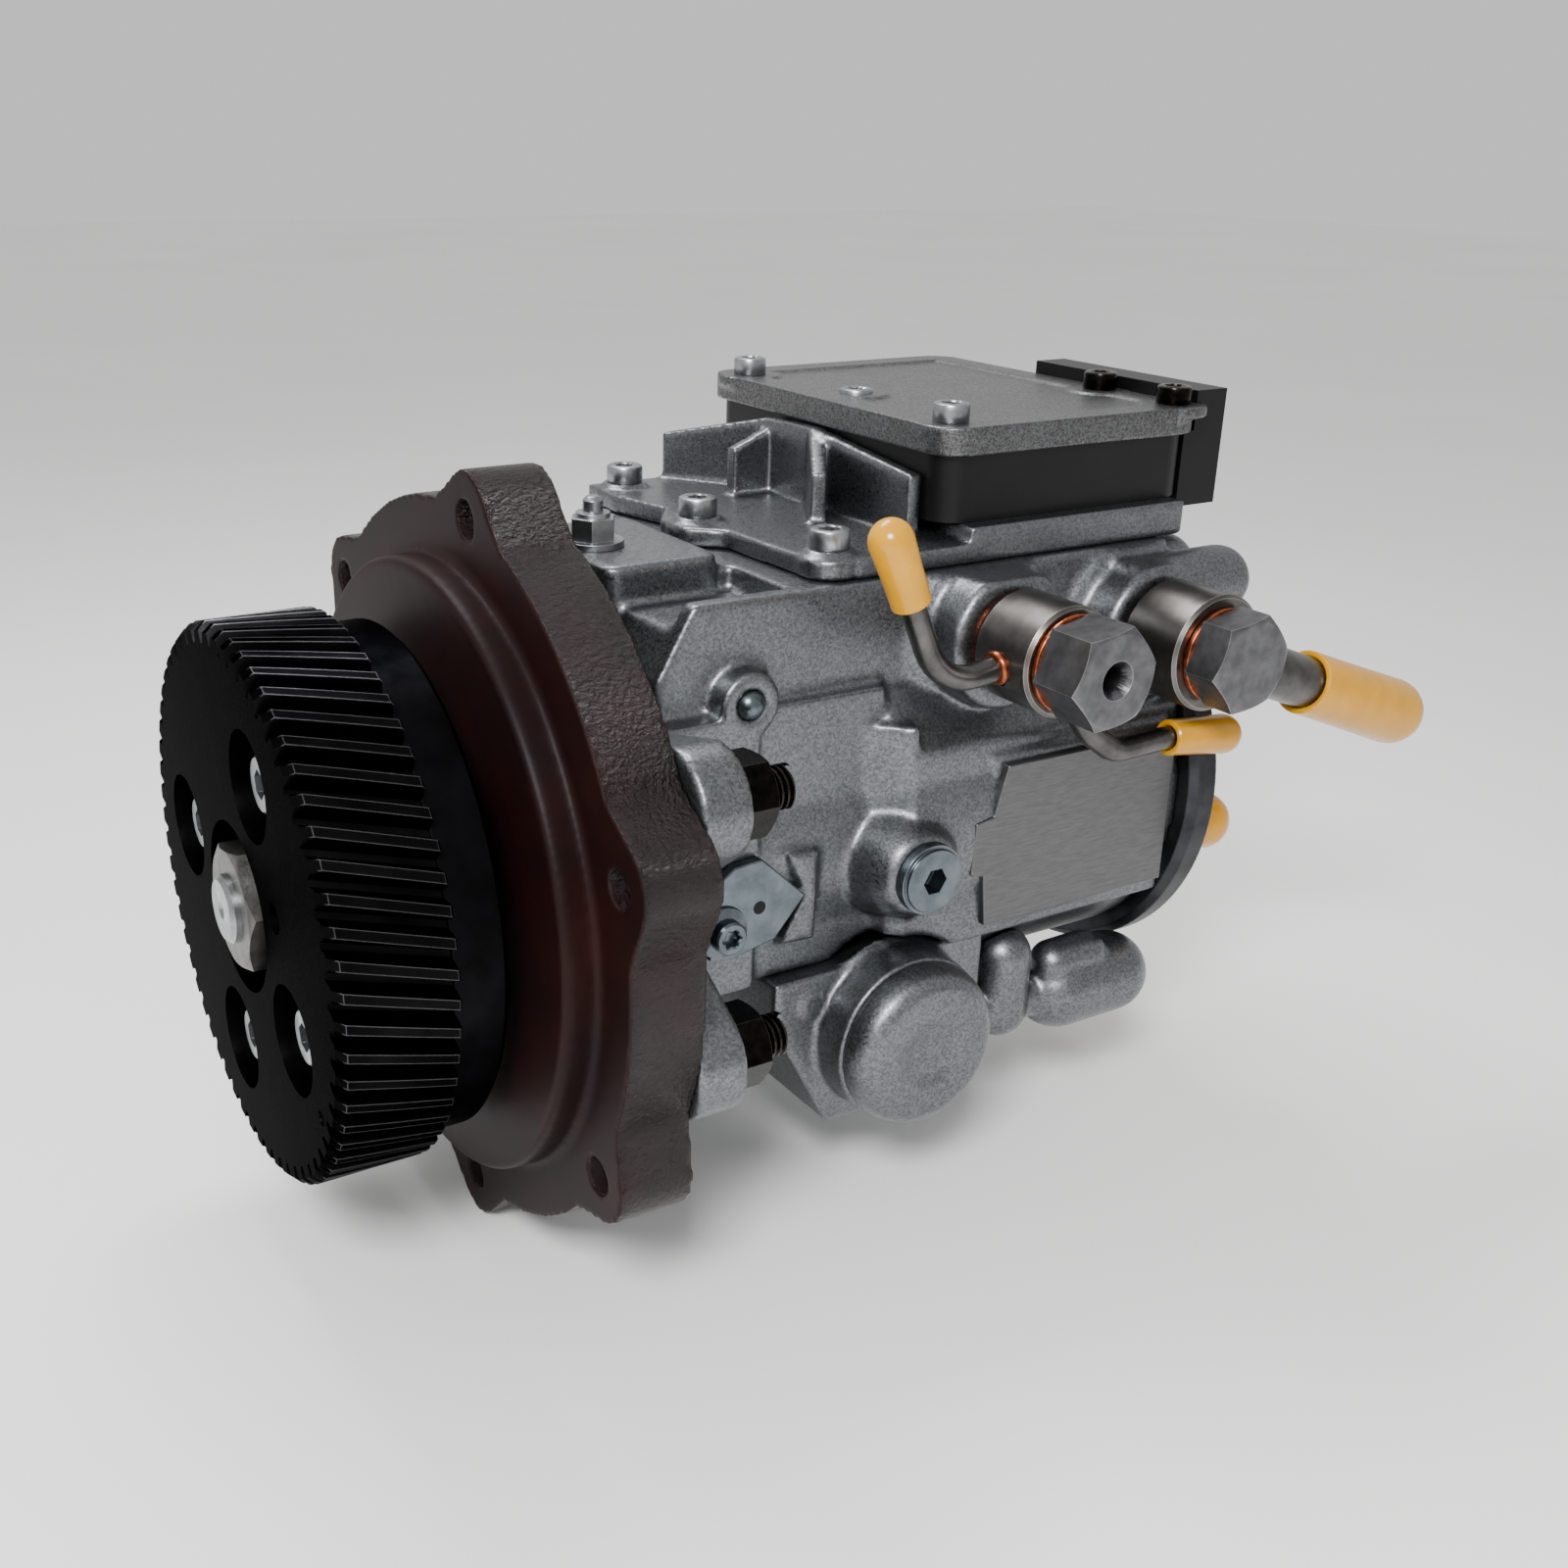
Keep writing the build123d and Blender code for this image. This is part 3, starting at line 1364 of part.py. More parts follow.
def unit_outline(inset):
    size_x = unit_rear_x - unit_front_x - 2 * inset
    size_y = unit_far_y - unit_near_y - 2 * inset
    centre = Pos((unit_front_x + unit_rear_x) / 2, (unit_near_y + unit_far_y) / 2)
    return centre * RectangleRounded(size_x, size_y, unit_corner_r)


def unit_space(extra):
    """Space that the plastic body of the control unit takes."""
    return along_z(unit_outline(unit_inset - extra), unit_floor_z, unit_top_z + 10)


def make_control_body():
    body = along_z(unit_outline(unit_inset), unit_floor_z, unit_plate_z)
    cavity = along_z(unit_outline(unit_inset + unit_wall), unit_floor_z + unit_wall, unit_plate_z)
    for x, y in unit_screw_places:
        cavity -= rod_z(unit_floor_z, unit_plate_z, 5.5, x, y)
    body -= cavity
    socket_x0 = unit_rear_x - unit_inset - 1.0
    socket_x1 = unit_rear_x + connector_length
    socket = block(
        socket_x0,
        socket_x1,
        connector_near_y,
        connector_far_y,
        unit_floor_z - connector_drop,
        unit_top_z + connector_rise,
    )
    socket -= block(
        socket_x0,
        unit_rear_x + 0.4,
        connector_near_y,
        connector_far_y,
        unit_plate_z,
        unit_top_z + 10,
    )
    socket -= block(socket_x0, bracket_rear_x + 0.3, connector_near_y, connector_far_y, 0, unit_floor_z)
    socket -= connector_space()
    body += socket
    for x, y in unit_screw_places:
        body -= rod_z(unit_floor_z + 2.0, unit_plate_z, 2.5, x, y)
    for index in range(pin_count):
        share = (index + 0.5) / pin_count
        y = connector_near_y + connector_wall + share * (connector_far_y - connector_near_y - 2 * connector_wall)
        z = (unit_floor_z - connector_drop + unit_top_z + connector_rise) / 2
        x0 = unit_rear_x + connector_length - connector_depth
        body += block(x0 - 1.0, x0 + 3.0, y - 0.5, y + 0.5, z - 2.0, z + 2.0)
    return body


def connector_space():
    return block(
        unit_rear_x + connector_length - connector_depth,
        unit_rear_x + connector_length,
        connector_near_y + connector_wall,
        connector_far_y - connector_wall,
        unit_floor_z - connector_drop + connector_wall,
        unit_top_z + connector_rise - connector_wall,
    )


def make_control_plate():
    plate = along_z(unit_outline(0.0), unit_plate_z, unit_top_z)
    plate = chamfer(plate.edges().group_by(Axis.Z)[-1], 0.8)
    # Shallow field in the middle of the plate, as cast
    field = along_z(unit_outline(9.0), unit_top_z - 0.6, unit_top_z)
    for x, y in unit_screw_places:
        field -= rod_z(unit_top_z - 0.6, unit_top_z, 9.0, x, y)
    plate -= field
    for x, y in unit_screw_places:
        plate -= rod_z(unit_plate_z, unit_top_z, 3.1, x, y)
    x, y = unit_screw_places[4]
    plate -= rod_z(unit_top_z - 3.5, unit_top_z, 7.5, x, y)
    return plate


def make_control_screws():
    screws = []
    for index, (x, y) in enumerate(unit_screw_places):
        seat = unit_top_z if index < 4 else unit_top_z - 3.5
        screws.append(control_screw(x, y, seat))
    return group(screws)


def control_screw(x, y, seat_z):
    top_z = seat_z + screw_head_height
    screw = rod_z(unit_floor_z + 4.0, seat_z, 2.45, x, y)
    screw += turned_z(
        x,
        y,
        (seat_z, 0),
        (seat_z, screw_head_r - 0.4),
        (top_z - 0.5, screw_head_r - 0.4),
        (top_z, screw_head_r - 0.9),
        (top_z, 0),
    )
    return screw - rod_z(top_z - 2.4, top_z, 2.4, x, y)


def make_control_board():
    board = along_z(unit_outline(unit_inset + unit_wall + 1.5), unit_floor_z + 7.0, unit_floor_z + 8.6)
    for x, y in unit_screw_places:
        board -= rod_z(unit_floor_z, unit_plate_z, 6.2, x, y)
    board += block(140, 158, -5, 15, unit_floor_z + 8.6, unit_floor_z + 11.0)
    board += block(165, 175, 25, 45, unit_floor_z + 8.6, unit_floor_z + 12.0)
    # Posts that carry the board on the floor of its box
    for x, y in ((150.0, -20.0), (150.0, 60.0), (175.0, 5.0)):
        board += rod_z(unit_floor_z + unit_wall, unit_floor_z + 7.0, 2.5, x, y)
    return board


# Timing device


def make_timing_housing():
    outline = Polygon(
        (timing_x0, seam_z),
        (timing_x1, seam_z),
        (timing_x1, timing_bottom_z + 14.0),
        (timing_x1 - 12.0, timing_bottom_z),
        (timing_x0 + 17.0, timing_bottom_z),
        (timing_x0 + 3.0, seam_z - 18.0),
        (timing_x0, seam_z - 16.0),
        align=None,
    )
    body = along_y(outline, timing_half_width, -timing_half_width)
    body += turned_y(
        cam_x,
        timing_axis_z,
        (-timing_half_width + 2.0, 0),
        (-timing_half_width + 2.0, timing_boss_r + 2.0),
        (-timing_half_width - 1.0, timing_boss_r),
        (timing_boss_y, timing_boss_r - 0.5),
        (timing_boss_y, 0),
    )
    body += rod_y(timing_half_width + 6.0, timing_half_width, timing_boss_r - 4.0, cam_x, timing_axis_z)
    # Link passage and the lobe that holds the timing solenoid valve
    link = rod_z(solenoid_lobe_z - 1.0, -41.0, link_lobe_r, link_lobe_x, solenoid_lobe_y)
    link += Pos(link_lobe_x, solenoid_lobe_y, -41.0) * Sphere(link_lobe_r)
    link += Pos(link_lobe_x, solenoid_lobe_y, solenoid_lobe_z - 1.0) * Sphere(link_lobe_r)
    lobe_axis = (solenoid_lobe_y, solenoid_lobe_z)
    lobe_x0 = solenoid_lobe_x0 + solenoid_lobe_r
    lobe_x1 = solenoid_lobe_x1 - solenoid_lobe_r
    lobe = rod_x(lobe_x0, lobe_x1, solenoid_lobe_r, *lobe_axis)
    for x in (lobe_x0, lobe_x1):
        lobe += Pos(x, *lobe_axis) * Sphere(solenoid_lobe_r)
    bridge = rod_x(timing_x1 - 6.0, solenoid_lobe_x0 + 8.0, solenoid_lobe_r - 5.5, *lobe_axis)
    body += link + lobe + bridge
    barrel_room = rod_x(timing_x1, housing_rear_x + 30.0, barrel_rear_r + 0.3)
    body -= barrel_room
    body -= block(timing_x1, timing_x1 + 90, -60, 0, seam_z - 0.1, 0)
    body -= inner_space()
    body -= rod_y(timing_half_width + 6.0, timing_boss_y, timing_bore_r, cam_x, timing_axis_z)
    # Slot in which the cam ring's pin swings
    body -= block(cam_x - 7.0, cam_x + 7.0, -19.0, 19.0, timing_axis_z, -30.0)
    valve_x = solenoid_lobe_x0 + 10.0
    body -= rod_x(valve_x - 0.5, valve_x + timing_valve_length + 0.5, timing_valve_r, *lobe_axis)
    for x, z in ((73.0, -36.0), (57.6, -34.0)):
        if x > timing_x0:
            body += rod_y(-timing_half_width + 1.0, -timing_half_width - 0.8, 3.3, x, z)
    return body


def make_timing_cover():
    """Pressed dome that closes the piston's bore on the near side."""
    y0, y1 = timing_boss_y, timing_cover_y
    rim = timing_boss_r - 0.7
    return turned_y(
        cam_x,
        timing_axis_z,
        (y0, 0),
        (y0, rim),
        (y0 - 4.0, rim - 0.6),
        (y1 + 2.6, timing_cover_r),
        (y1 + 0.8, timing_cover_r - 2.4),
        (y1 + 0.1, timing_cover_r - 8.0),
        (y1, 0),
    )


def make_timing_plug():
    """Hexagon plug on the far side, which the timing spring rests on."""
    y0 = timing_half_width + 6.0
    plug = along_y(Pos(cam_x, timing_axis_z) * hexagon(timing_plug_hex), y0 + 8.0, y0 + 2.0)
    plug += rod_y(y0 + 2.0, y0, timing_plug_hex / 2 + 3.0, cam_x, timing_axis_z)
    return plug + rod_y(y0, y0 - 10.0, timing_bore_r - 0.1, cam_x, timing_axis_z)


def make_timing_piston():
    y0 = piston_near_y
    y1 = y0 + piston_length
    piston = turned_y(
        cam_x,
        timing_axis_z,
        (y0, 0),
        (y0, timing_bore_r - running_gap),
        (y1, timing_bore_r - running_gap),
        (y1, 6.5),
        (y1 - 6.0, 6.5),
        (y1 - 6.0, 0),
    )
    # The pin's ball stands in a cross bore through the piston's top
    cross = rod_z(timing_axis_z - 7.0, timing_axis_z + 14.0, cam_ball_r + loose_gap, cam_x, 0)
    return piston - cross


def make_timing_spring():
    y0 = piston_near_y + piston_length - 5.8
    y1 = timing_half_width + 6.0 - 10.2
    length = y1 - y0 - 2 * timing_spring_wire_r
    spring = coil(length, 5.0, timing_spring_wire_r, 7)
    return Pos(cam_x, y0 + timing_spring_wire_r, timing_axis_z) * Rot(-90, 0, 0) * spring


def make_timing_valve():
    x0 = solenoid_lobe_x0 + 10.0
    x1 = x0 + timing_valve_length
    valve = turned_x(
        (x0, 2.1),
        (x0, timing_valve_r - seat_gap),
        (x1, timing_valve_r - seat_gap),
        (x1, 0),
        (x1 - 3.0, 0),
        (x1 - 3.0, 2.1),
    )
    return Pos(0, solenoid_lobe_y, solenoid_lobe_z) * valve


def make_timing_needle():
    x0 = solenoid_lobe_x0 + 10.0
    x1 = x0 + timing_valve_length - 3.0 - timing_valve_stroke - 0.3
    needle = turned_x((x0 + 0.5, 0), (x0 + 1.8, 2.05), (x1, 2.05), (x1, 0))
    return Pos(0, solenoid_lobe_y, solenoid_lobe_z) * needle


# Fuel pipes and unions


def union_body(x, z, radius):
    y0, y1 = union_face_y, union_end_y
    return turned_y(
        x,
        z,
        (y0 - copper_washer_thickness, union_bolt_shank_r + 1.0),
        (y0 - copper_washer_thickness, radius - 0.8),
        (y0 - copper_washer_thickness - 0.8, radius),
        (y1 + 0.8, radius),
        (y1, radius - 0.8),
        (y1, union_bolt_shank_r + 1.0),
    )


def pipe(radius, start, end):
    """Round bar between two places."""
    path = Line(start, end)
    section = Plane(origin=start, z_dir=path % 0) * Circle(radius)
    return extrude(section, (Vector(*end) - Vector(*start)).length)


def return_upper_route():
    """Corners of the return pipe that climbs past the housing's deck."""
    return (
        (return_x, union_mid_y, return_z),
        (101.5, union_mid_y, 45.2),
        (89.0, union_mid_y, 57.3),
        (80.0, union_mid_y, 83.4),
    )


def return_rear_route():
    """Corners of the return pipe that runs down and back along the housing."""
    return (
        (return_x, union_mid_y, return_z),
        (141.5, union_mid_y, 28.4),
        (150.5, union_mid_y, 21.9),
        (168.0, union_mid_y, 22.5),
        (188.0, union_mid_y, 20.2),
    )


def inlet_route():
    """Straight inlet pipe, sloping down towards the rear."""
    drop = inlet_pipe_reach * tan(radians(inlet_pipe_slope))
    return (
        (inlet_x, union_mid_y, inlet_z),
        (inlet_x + inlet_pipe_reach, union_mid_y, inlet_z - drop),
    )


def from_union(route, distance):
    """The same route, but starting at a distance from the union's centre."""
    centre, corner = Vector(*route[0]), Vector(*route[1])
    start = centre + (corner - centre).normalized() * distance
    return (start.to_tuple(), *route[1:])


def bent_pipe(route, outer_r, inner_r, radii):
    path = FilletPolyline(*route, radius=radii)
    start = Plane(origin=path @ 0, z_dir=path % 0)
    outer = sweep(start * Circle(outer_r), path=path)
    return outer - sweep(start * Circle(inner_r), path=path)


def make_return_union():
    body = union_body(return_x, return_z, return_union_r)
    for route in (return_upper_route(), return_rear_route()):
        body -= pipe(return_pipe_r, route[0], route[1])
    return body


def make_inlet_union():
    body = union_body(inlet_x, inlet_z, inlet_union_r)
    return body - pipe(inlet_pipe_r, *inlet_route())


def make_fuel_unions():
    return group([make_return_union(), make_inlet_union()])


def make_return_pipe_upper():
    route = from_union(return_upper_route(), return_union_r - 2.5)
    return bent_pipe(route, return_pipe_r, return_pipe_r - 1.0, (12.0, 14.0))


def make_return_pipe_rear():
    route = from_union(return_rear_route(), return_union_r - 2.5)
    return bent_pipe(route, return_pipe_r, return_pipe_r - 1.0, (12.0, 10.0, 30.0))


def make_inlet_pipe():
    start, end = from_union(inlet_route(), inlet_union_r - 2.0)
    return pipe(inlet_pipe_r, start, end) - pipe(inlet_pipe_r - 1.2, start, end)


def make_fuel_pipes():
    return group([make_return_pipe_upper(), make_return_pipe_rear(), make_inlet_pipe()])


def union_bolt(x, z, head_height, bore):
    """Hollow hexagon bolt that clamps a union between two copper washers."""
    head_y = union_end_y - copper_washer_thickness
    face_y = head_y - head_height
    end_y = union_face_y + union_bolt_length - union_length
    corner = union_bolt_hex / 2 / cos(pi / 6)
    prism = along_y(Pos(x, z) * hexagon(union_bolt_hex, 10), head_y, face_y)
    limit = turned_y(
        x,
        z,
        (head_y, 0),
        (head_y, corner + 0.1),
        (face_y + 1.2, corner + 0.1),
        (face_y, union_bolt_hex / 2 - 0.3),
        (face_y, 0),
    )
    bolt = prism & limit
    bolt += rod_y(end_y, head_y, union_bolt_shank_r - 0.05, x, z)
    bolt -= rod_x(x - 10, x + 10, 2.2, union_mid_y, z)
    depth_y = face_y if bore else head_y - 2.0
    bolt -= rod_y(end_y, depth_y, union_bolt_bore_r, x, z)
    if bore:
        bolt -= turned_y(x, z, (face_y, 0), (face_y, 4.6), (face_y + 3.0, union_bolt_bore_r), (face_y + 3.0, 0))
    return bolt


def make_union_bolts():
    return_bolt = union_bolt(return_x, return_z, return_bolt_head, True)
    inlet_bolt = union_bolt(inlet_x, inlet_z, inlet_bolt_head, False)
    return group([return_bolt, inlet_bolt])


def make_copper_washers():
    washers = []
    for x, z in ((return_x, return_z), (inlet_x, inlet_z)):
        for y in (union_face_y, union_end_y):
            ring = rod_y(y, y - copper_washer_thickness, union_bolt_hex / 2 + 0.9, x, z)
            ring -= rod_y(y, y - copper_washer_thickness, union_bolt_shank_r + 0.1, x, z)
            washers.append(ring)
    return group(washers)


def overflow_y():
    return union_end_y - 2.0


def make_overflow_piston():
    """Small piston in the hollow return bolt that opens against its spring."""
    y = overflow_y()
    return turned_y(
        return_x,
        return_z,
        (y + 8.0, 0),
        (y + 8.0, union_bolt_bore_r - running_gap),
        (y + 3.0, union_bolt_bore_r - running_gap),
        (y + 3.0, 0),
    )


def cap_on(route, inner_r, cover, length):
    """Cap pushed over the end of a pipe, in line with its last run."""
    start, end = Vector(*route[-2]), Vector(*route[-1])
    direction = (end - start).normalized()
    place = Plane(origin=end - direction * cover, x_dir=(0, 1, 0), z_dir=direction)
    return place * Rot(0, -90, 0) * pipe_cap(length, inner_r, cover + 0.3)


def make_pipe_caps():
    inner = return_pipe_r + 0.05
    caps = [
        cap_on(return_upper_route(), inner, 18.0, 24.0),
        cap_on(return_rear_route(), inner, 19.0, 25.0),
        cap_on(inlet_route(), inlet_pipe_r + 0.05, 33.0, 50.0),
    ]
    return group(caps)


makers = {
    "drive_gear": make_drive_gear,
    "gear_hub": make_gear_hub,
    "gear_bolts": make_gear_bolts,
    "hub_washer": make_hub_washer,
    "hub_nut": make_hub_nut,
    "drive_shaft": make_drive_shaft,
    "shaft_key": make_shaft_key,
    "shaft_seal": make_shaft_seal,
    "front_bearing": make_front_bearing,
    "adapter_flange": make_adapter_flange,
    "o_rings": make_o_rings,
    "adapter_studs": make_adapter_studs,
    "stud_nuts": make_stud_nuts,
    "pump_housing": make_pump_housing,
    "lock_plate": make_lock_plate,
    "small_plugs": make_small_plugs,
    "lock_screw": make_lock_screw,
    "supply_ring": make_supply_ring,
    "supply_rotor": make_supply_rotor,
    "supply_vanes": make_supply_vanes,
    "supply_cover": make_supply_cover,
    "small_screws": make_small_screws,
    "cam_ring": make_cam_ring,
    "cam_pin": make_cam_pin,
    "angle_sensor": make_angle_sensor,
    "sensor_wheel": make_sensor_wheel,
    "cam_rollers": make_cam_rollers,
    "roller_shoes": make_roller_shoes,
    "pump_plungers": make_pump_plungers,
    "distributor_rotor": make_distributor_rotor,
    "distributor_head": make_distributor_head,
    "housing_screws": make_housing_screws,
    "valve_holders": make_valve_holders,
    "delivery_springs": make_delivery_springs,
    "outlet_caps": make_outlet_caps,
    "solenoid_body": make_solenoid_body,
    "solenoid_needle": make_solenoid_needle,
    "solenoid_clamp": make_solenoid_clamp,
    "cooling_bracket": make_cooling_bracket,
    "control_body": make_control_body,
    "control_plate": make_control_plate,
    "control_screws": make_control_screws,
    "control_board": make_control_board,
    "timing_housing": make_timing_housing,
    "timing_cover": make_timing_cover,
    "timing_plug": make_timing_plug,
    "timing_piston": make_timing_piston,
    "timing_spring": make_timing_spring,
    "timing_valve": make_timing_valve,
    "timing_needle": make_timing_needle,
    "overflow_piston": make_overflow_piston,
    "fuel_unions": make_fuel_unions,
    "union_bolts": make_union_bolts,
    "copper_washers": make_copper_washers,
    "fuel_pipes": make_fuel_pipes,
    "pipe_caps": make_pipe_caps,
}
for number, angle in enumerate(outlet_angles, start=1):
    makers[f"delivery_valve_{number}"] = partial(make_delivery_valve, angle)

os.makedirs("parts", exist_ok=True)
for node, maker in makers.items():
    export_step(maker(), f"parts/{node}.step")
    print(node)
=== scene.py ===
# %% [markdown]
# # A rotary diesel injection pump, dressed for a photograph
# The CAD model gives every piece its place and size. This notebook gives each piece its surface:
# blasted aluminium castings, a black helical gear, a red-brown primed flange, zinc screws,
# copper washers and soft yellow caps. Each step says what the real thing is and why the
# chosen Blender tool suits it.

import json
from math import atan2, cos, degrees, pi, radians, sin, tan

import bmesh
import bpy
from mathutils import Matrix, Vector


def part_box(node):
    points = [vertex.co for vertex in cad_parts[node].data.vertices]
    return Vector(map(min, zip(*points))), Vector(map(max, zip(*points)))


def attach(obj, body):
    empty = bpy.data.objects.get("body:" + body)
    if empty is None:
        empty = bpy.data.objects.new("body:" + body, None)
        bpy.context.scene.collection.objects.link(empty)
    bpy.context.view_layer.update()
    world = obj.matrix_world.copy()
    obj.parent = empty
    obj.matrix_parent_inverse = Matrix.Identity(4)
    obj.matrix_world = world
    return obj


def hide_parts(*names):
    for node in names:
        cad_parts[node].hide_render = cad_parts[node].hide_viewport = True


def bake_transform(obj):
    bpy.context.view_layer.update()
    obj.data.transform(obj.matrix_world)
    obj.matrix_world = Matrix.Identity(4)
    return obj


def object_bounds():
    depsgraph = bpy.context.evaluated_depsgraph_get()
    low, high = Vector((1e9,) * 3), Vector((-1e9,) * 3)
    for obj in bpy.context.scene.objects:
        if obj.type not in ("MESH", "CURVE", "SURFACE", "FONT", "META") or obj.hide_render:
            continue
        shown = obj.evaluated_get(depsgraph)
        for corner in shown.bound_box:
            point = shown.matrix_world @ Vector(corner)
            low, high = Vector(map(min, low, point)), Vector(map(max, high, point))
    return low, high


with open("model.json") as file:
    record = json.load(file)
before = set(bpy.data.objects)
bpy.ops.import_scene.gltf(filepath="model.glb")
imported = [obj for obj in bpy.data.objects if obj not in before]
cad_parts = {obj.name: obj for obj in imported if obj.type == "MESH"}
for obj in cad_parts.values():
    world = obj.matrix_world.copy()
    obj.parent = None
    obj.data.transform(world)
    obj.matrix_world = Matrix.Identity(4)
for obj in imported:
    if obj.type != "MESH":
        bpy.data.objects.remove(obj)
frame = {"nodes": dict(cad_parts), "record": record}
cad_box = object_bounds()
print("CAD box", cad_box)

# %% [markdown]
# ## Units and small helpers
# Blender works in metres and the drawings of a pump in millimetres, so one factor turns the
# second into the first. Colours are given as the hex values that a screen shows, and one
# function turns them into the linear light that the renderer mixes.

# %% Units, colours and nodes
MM = 0.001


def linear(hex_colour):
    """Turn an sRGB hex colour into linear red, green, blue and alpha."""
    channels = [int(hex_colour[i : i + 2], 16) / 255 for i in (1, 3, 5)]
    return [c / 12.92 if c <= 0.04045 else ((c + 0.055) / 1.055) ** 2.4 for c in channels] + [1.0]


def feed(node, inputs):
    """Give a node's inputs, by name or number, a value or the socket that drives them."""
    for name, value in inputs.items():
        if isinstance(value, bpy.types.NodeSocket):
            node.id_data.links.new(value, node.inputs[name])
        else:
            node.inputs[name].default_value = value


def add_node(material, kind, inputs=None, **settings):
    """Add one node, with its settings first and then what feeds it."""
    new = material.node_tree.nodes.new(kind)
    for name, value in settings.items():
        setattr(new, name, value)
    feed(new, inputs or {})
    return new


def new_material(name):
    """An empty material with its shader and the place on the piece, in metres."""
    material = bpy.data.materials.new(name)
    material.use_nodes = True
    shader = material.node_tree.nodes["Principled BSDF"]
    place = add_node(material, "ShaderNodeTexCoord").outputs["Object"]
    return material, shader, place


def per_mm(size_mm):
    """Scale of a texture whose features are size_mm apart."""
    return 1.0 / (size_mm * MM)


def ramp(material, factor, *stops):
    """Colour ramp from (position, hex) stops."""
    node = add_node(material, "ShaderNodeValToRGB", {"Fac": factor})
    elements = node.color_ramp.elements
    while len(elements) < len(stops):
        elements.new(0.5)
    for element, (position, colour) in zip(elements, stops):
        element.position = position
        element.color = linear(colour)
    return node.outputs["Color"]


def spread(material, factor, low, high):
    """Map a 0 to 1 value onto the range low to high."""
    inputs = {"Value": factor, "To Min": low, "To Max": high}
    return add_node(material, "ShaderNodeMapRange", inputs).outputs["Result"]


# %% [markdown]
# ## Grain, clouds and worn edges
# Three things make a surface look made rather than drawn: a fine grain from the process, a slow
# unevenness from handling, and edges that have rubbed against something. The grain is a noise of a
# real size fed to Bump. The edge mask compares the surface's direction with the one that the Bevel
# node would give it: they differ only close to an edge, so the mask follows every edge by itself.
# On the gear's teeth and the flange, the lighter edges from the mask are wear and painted
# highlight.

# %% Patterns that the finishes share


def grain(material, place, size_mm, depth_mm, detail=3.0, strength=1.0, after=None):
    """Bump of a blasted or cast skin, from noise of a real grain size."""
    inputs = {"Vector": place, "Scale": per_mm(size_mm), "Detail": detail, "Roughness": 0.6}
    pattern = add_node(material, "ShaderNodeTexNoise", inputs)
    bump = {"Height": pattern.outputs["Fac"], "Distance": depth_mm * MM, "Strength": strength}
    if after is not None:
        bump["Normal"] = after
    return pattern.outputs["Fac"], add_node(material, "ShaderNodeBump", bump).outputs["Normal"]


def cloud(material, place, size_mm, detail=4.0):
    """Slow variation over the surface, such as handling marks and uneven blasting."""
    inputs = {"Vector": place, "Scale": per_mm(size_mm), "Detail": detail, "Roughness": 0.55}
    return add_node(material, "ShaderNodeTexNoise", inputs).outputs["Fac"]


def edge_mask(material, width_mm):
    """0 on even ground and 1 within width_mm of a sharp edge."""
    rounded = add_node(material, "ShaderNodeBevel", {"Radius": width_mm * MM}, samples=4)
    plain = add_node(material, "ShaderNodeNewGeometry")
    inputs = {0: rounded.outputs["Normal"], 1: plain.outputs["Normal"]}
    match = add_node(material, "ShaderNodeVectorMath", inputs, operation="DOT_PRODUCT")
    inputs = {"Value": match.outputs["Value"], "From Min": 0.99, "From Max": 0.88}
    return add_node(material, "ShaderNodeMapRange", inputs).outputs["Result"]


def multiply(material, first, second):
    """Product of two values."""
    node = add_node(material, "ShaderNodeMath", {0: first, 1: second}, operation="MULTIPLY")
    return node.outputs[0]


def blend_colours(material, mask, under, over):
    """One colour over another, by a mask."""
    under, over = (linear(side) if isinstance(side, str) else side for side in (under, over))
    inputs = {"Factor": mask, 6: under, 7: over}
    return add_node(material, "ShaderNodeMix", inputs, data_type="RGBA").outputs[2]


# %% [markdown]
# ## Shot-blasted aluminium
# The housing is pressure-cast and then blasted with fine steel shot. The shot leaves facets of a
# few tenths of a millimetre that each catch the light at their own angle, so the grey looks satin
# from afar and glitters near by. Voronoi cells of that size tilt the surface and change its gloss
# cell by cell, which a smooth noise can't do.

# %% Blasted castings
# Share of the facets that stay matt, and what the glinting ones keep of the roughness.
MATT_SHARE, GLINT_ROUGHNESS = 0.62, 0.66


def blasted_aluminium(name, dark, light, facet_mm, roughness):
    """Pressure-cast aluminium, shot-blasted: a grey satin skin with a fine glitter."""
    material, shader, place = new_material(name)
    slow = cloud(material, place, 24.0, detail=2.0)
    cells = {"Vector": place, "Scale": per_mm(facet_mm)}
    facets = add_node(material, "ShaderNodeTexVoronoi", cells)
    pick = add_node(material, "ShaderNodeSeparateColor", {"Color": facets.outputs["Color"]})
    body_colour = ramp(material, slow, (0.25, dark), (0.75, light))
    fleck = spread(material, pick.outputs["Red"], 0.0, 0.40)
    colour = blend_colours(material, fleck, body_colour, "#9fa1a3")
    glint = {"Value": pick.outputs["Green"], "From Min": MATT_SHARE, "To Min": roughness}
    glint["To Max"] = roughness * GLINT_ROUGHNESS
    bright = add_node(material, "ShaderNodeMapRange", glint).outputs["Result"]
    bump = {"Height": pick.outputs["Blue"], "Distance": 0.020 * MM, "Strength": 0.5}
    facet_normal = add_node(material, "ShaderNodeBump", bump).outputs["Normal"]
    skin_mm = facet_mm * 2.0
    _, normal = grain(material, place, skin_mm, 0.04, detail=2.0, strength=0.5, after=facet_normal)
    feed(shader, {"Base Color": colour, "Roughness": bright, "Normal": normal, "Metallic": 1.0})
    return material


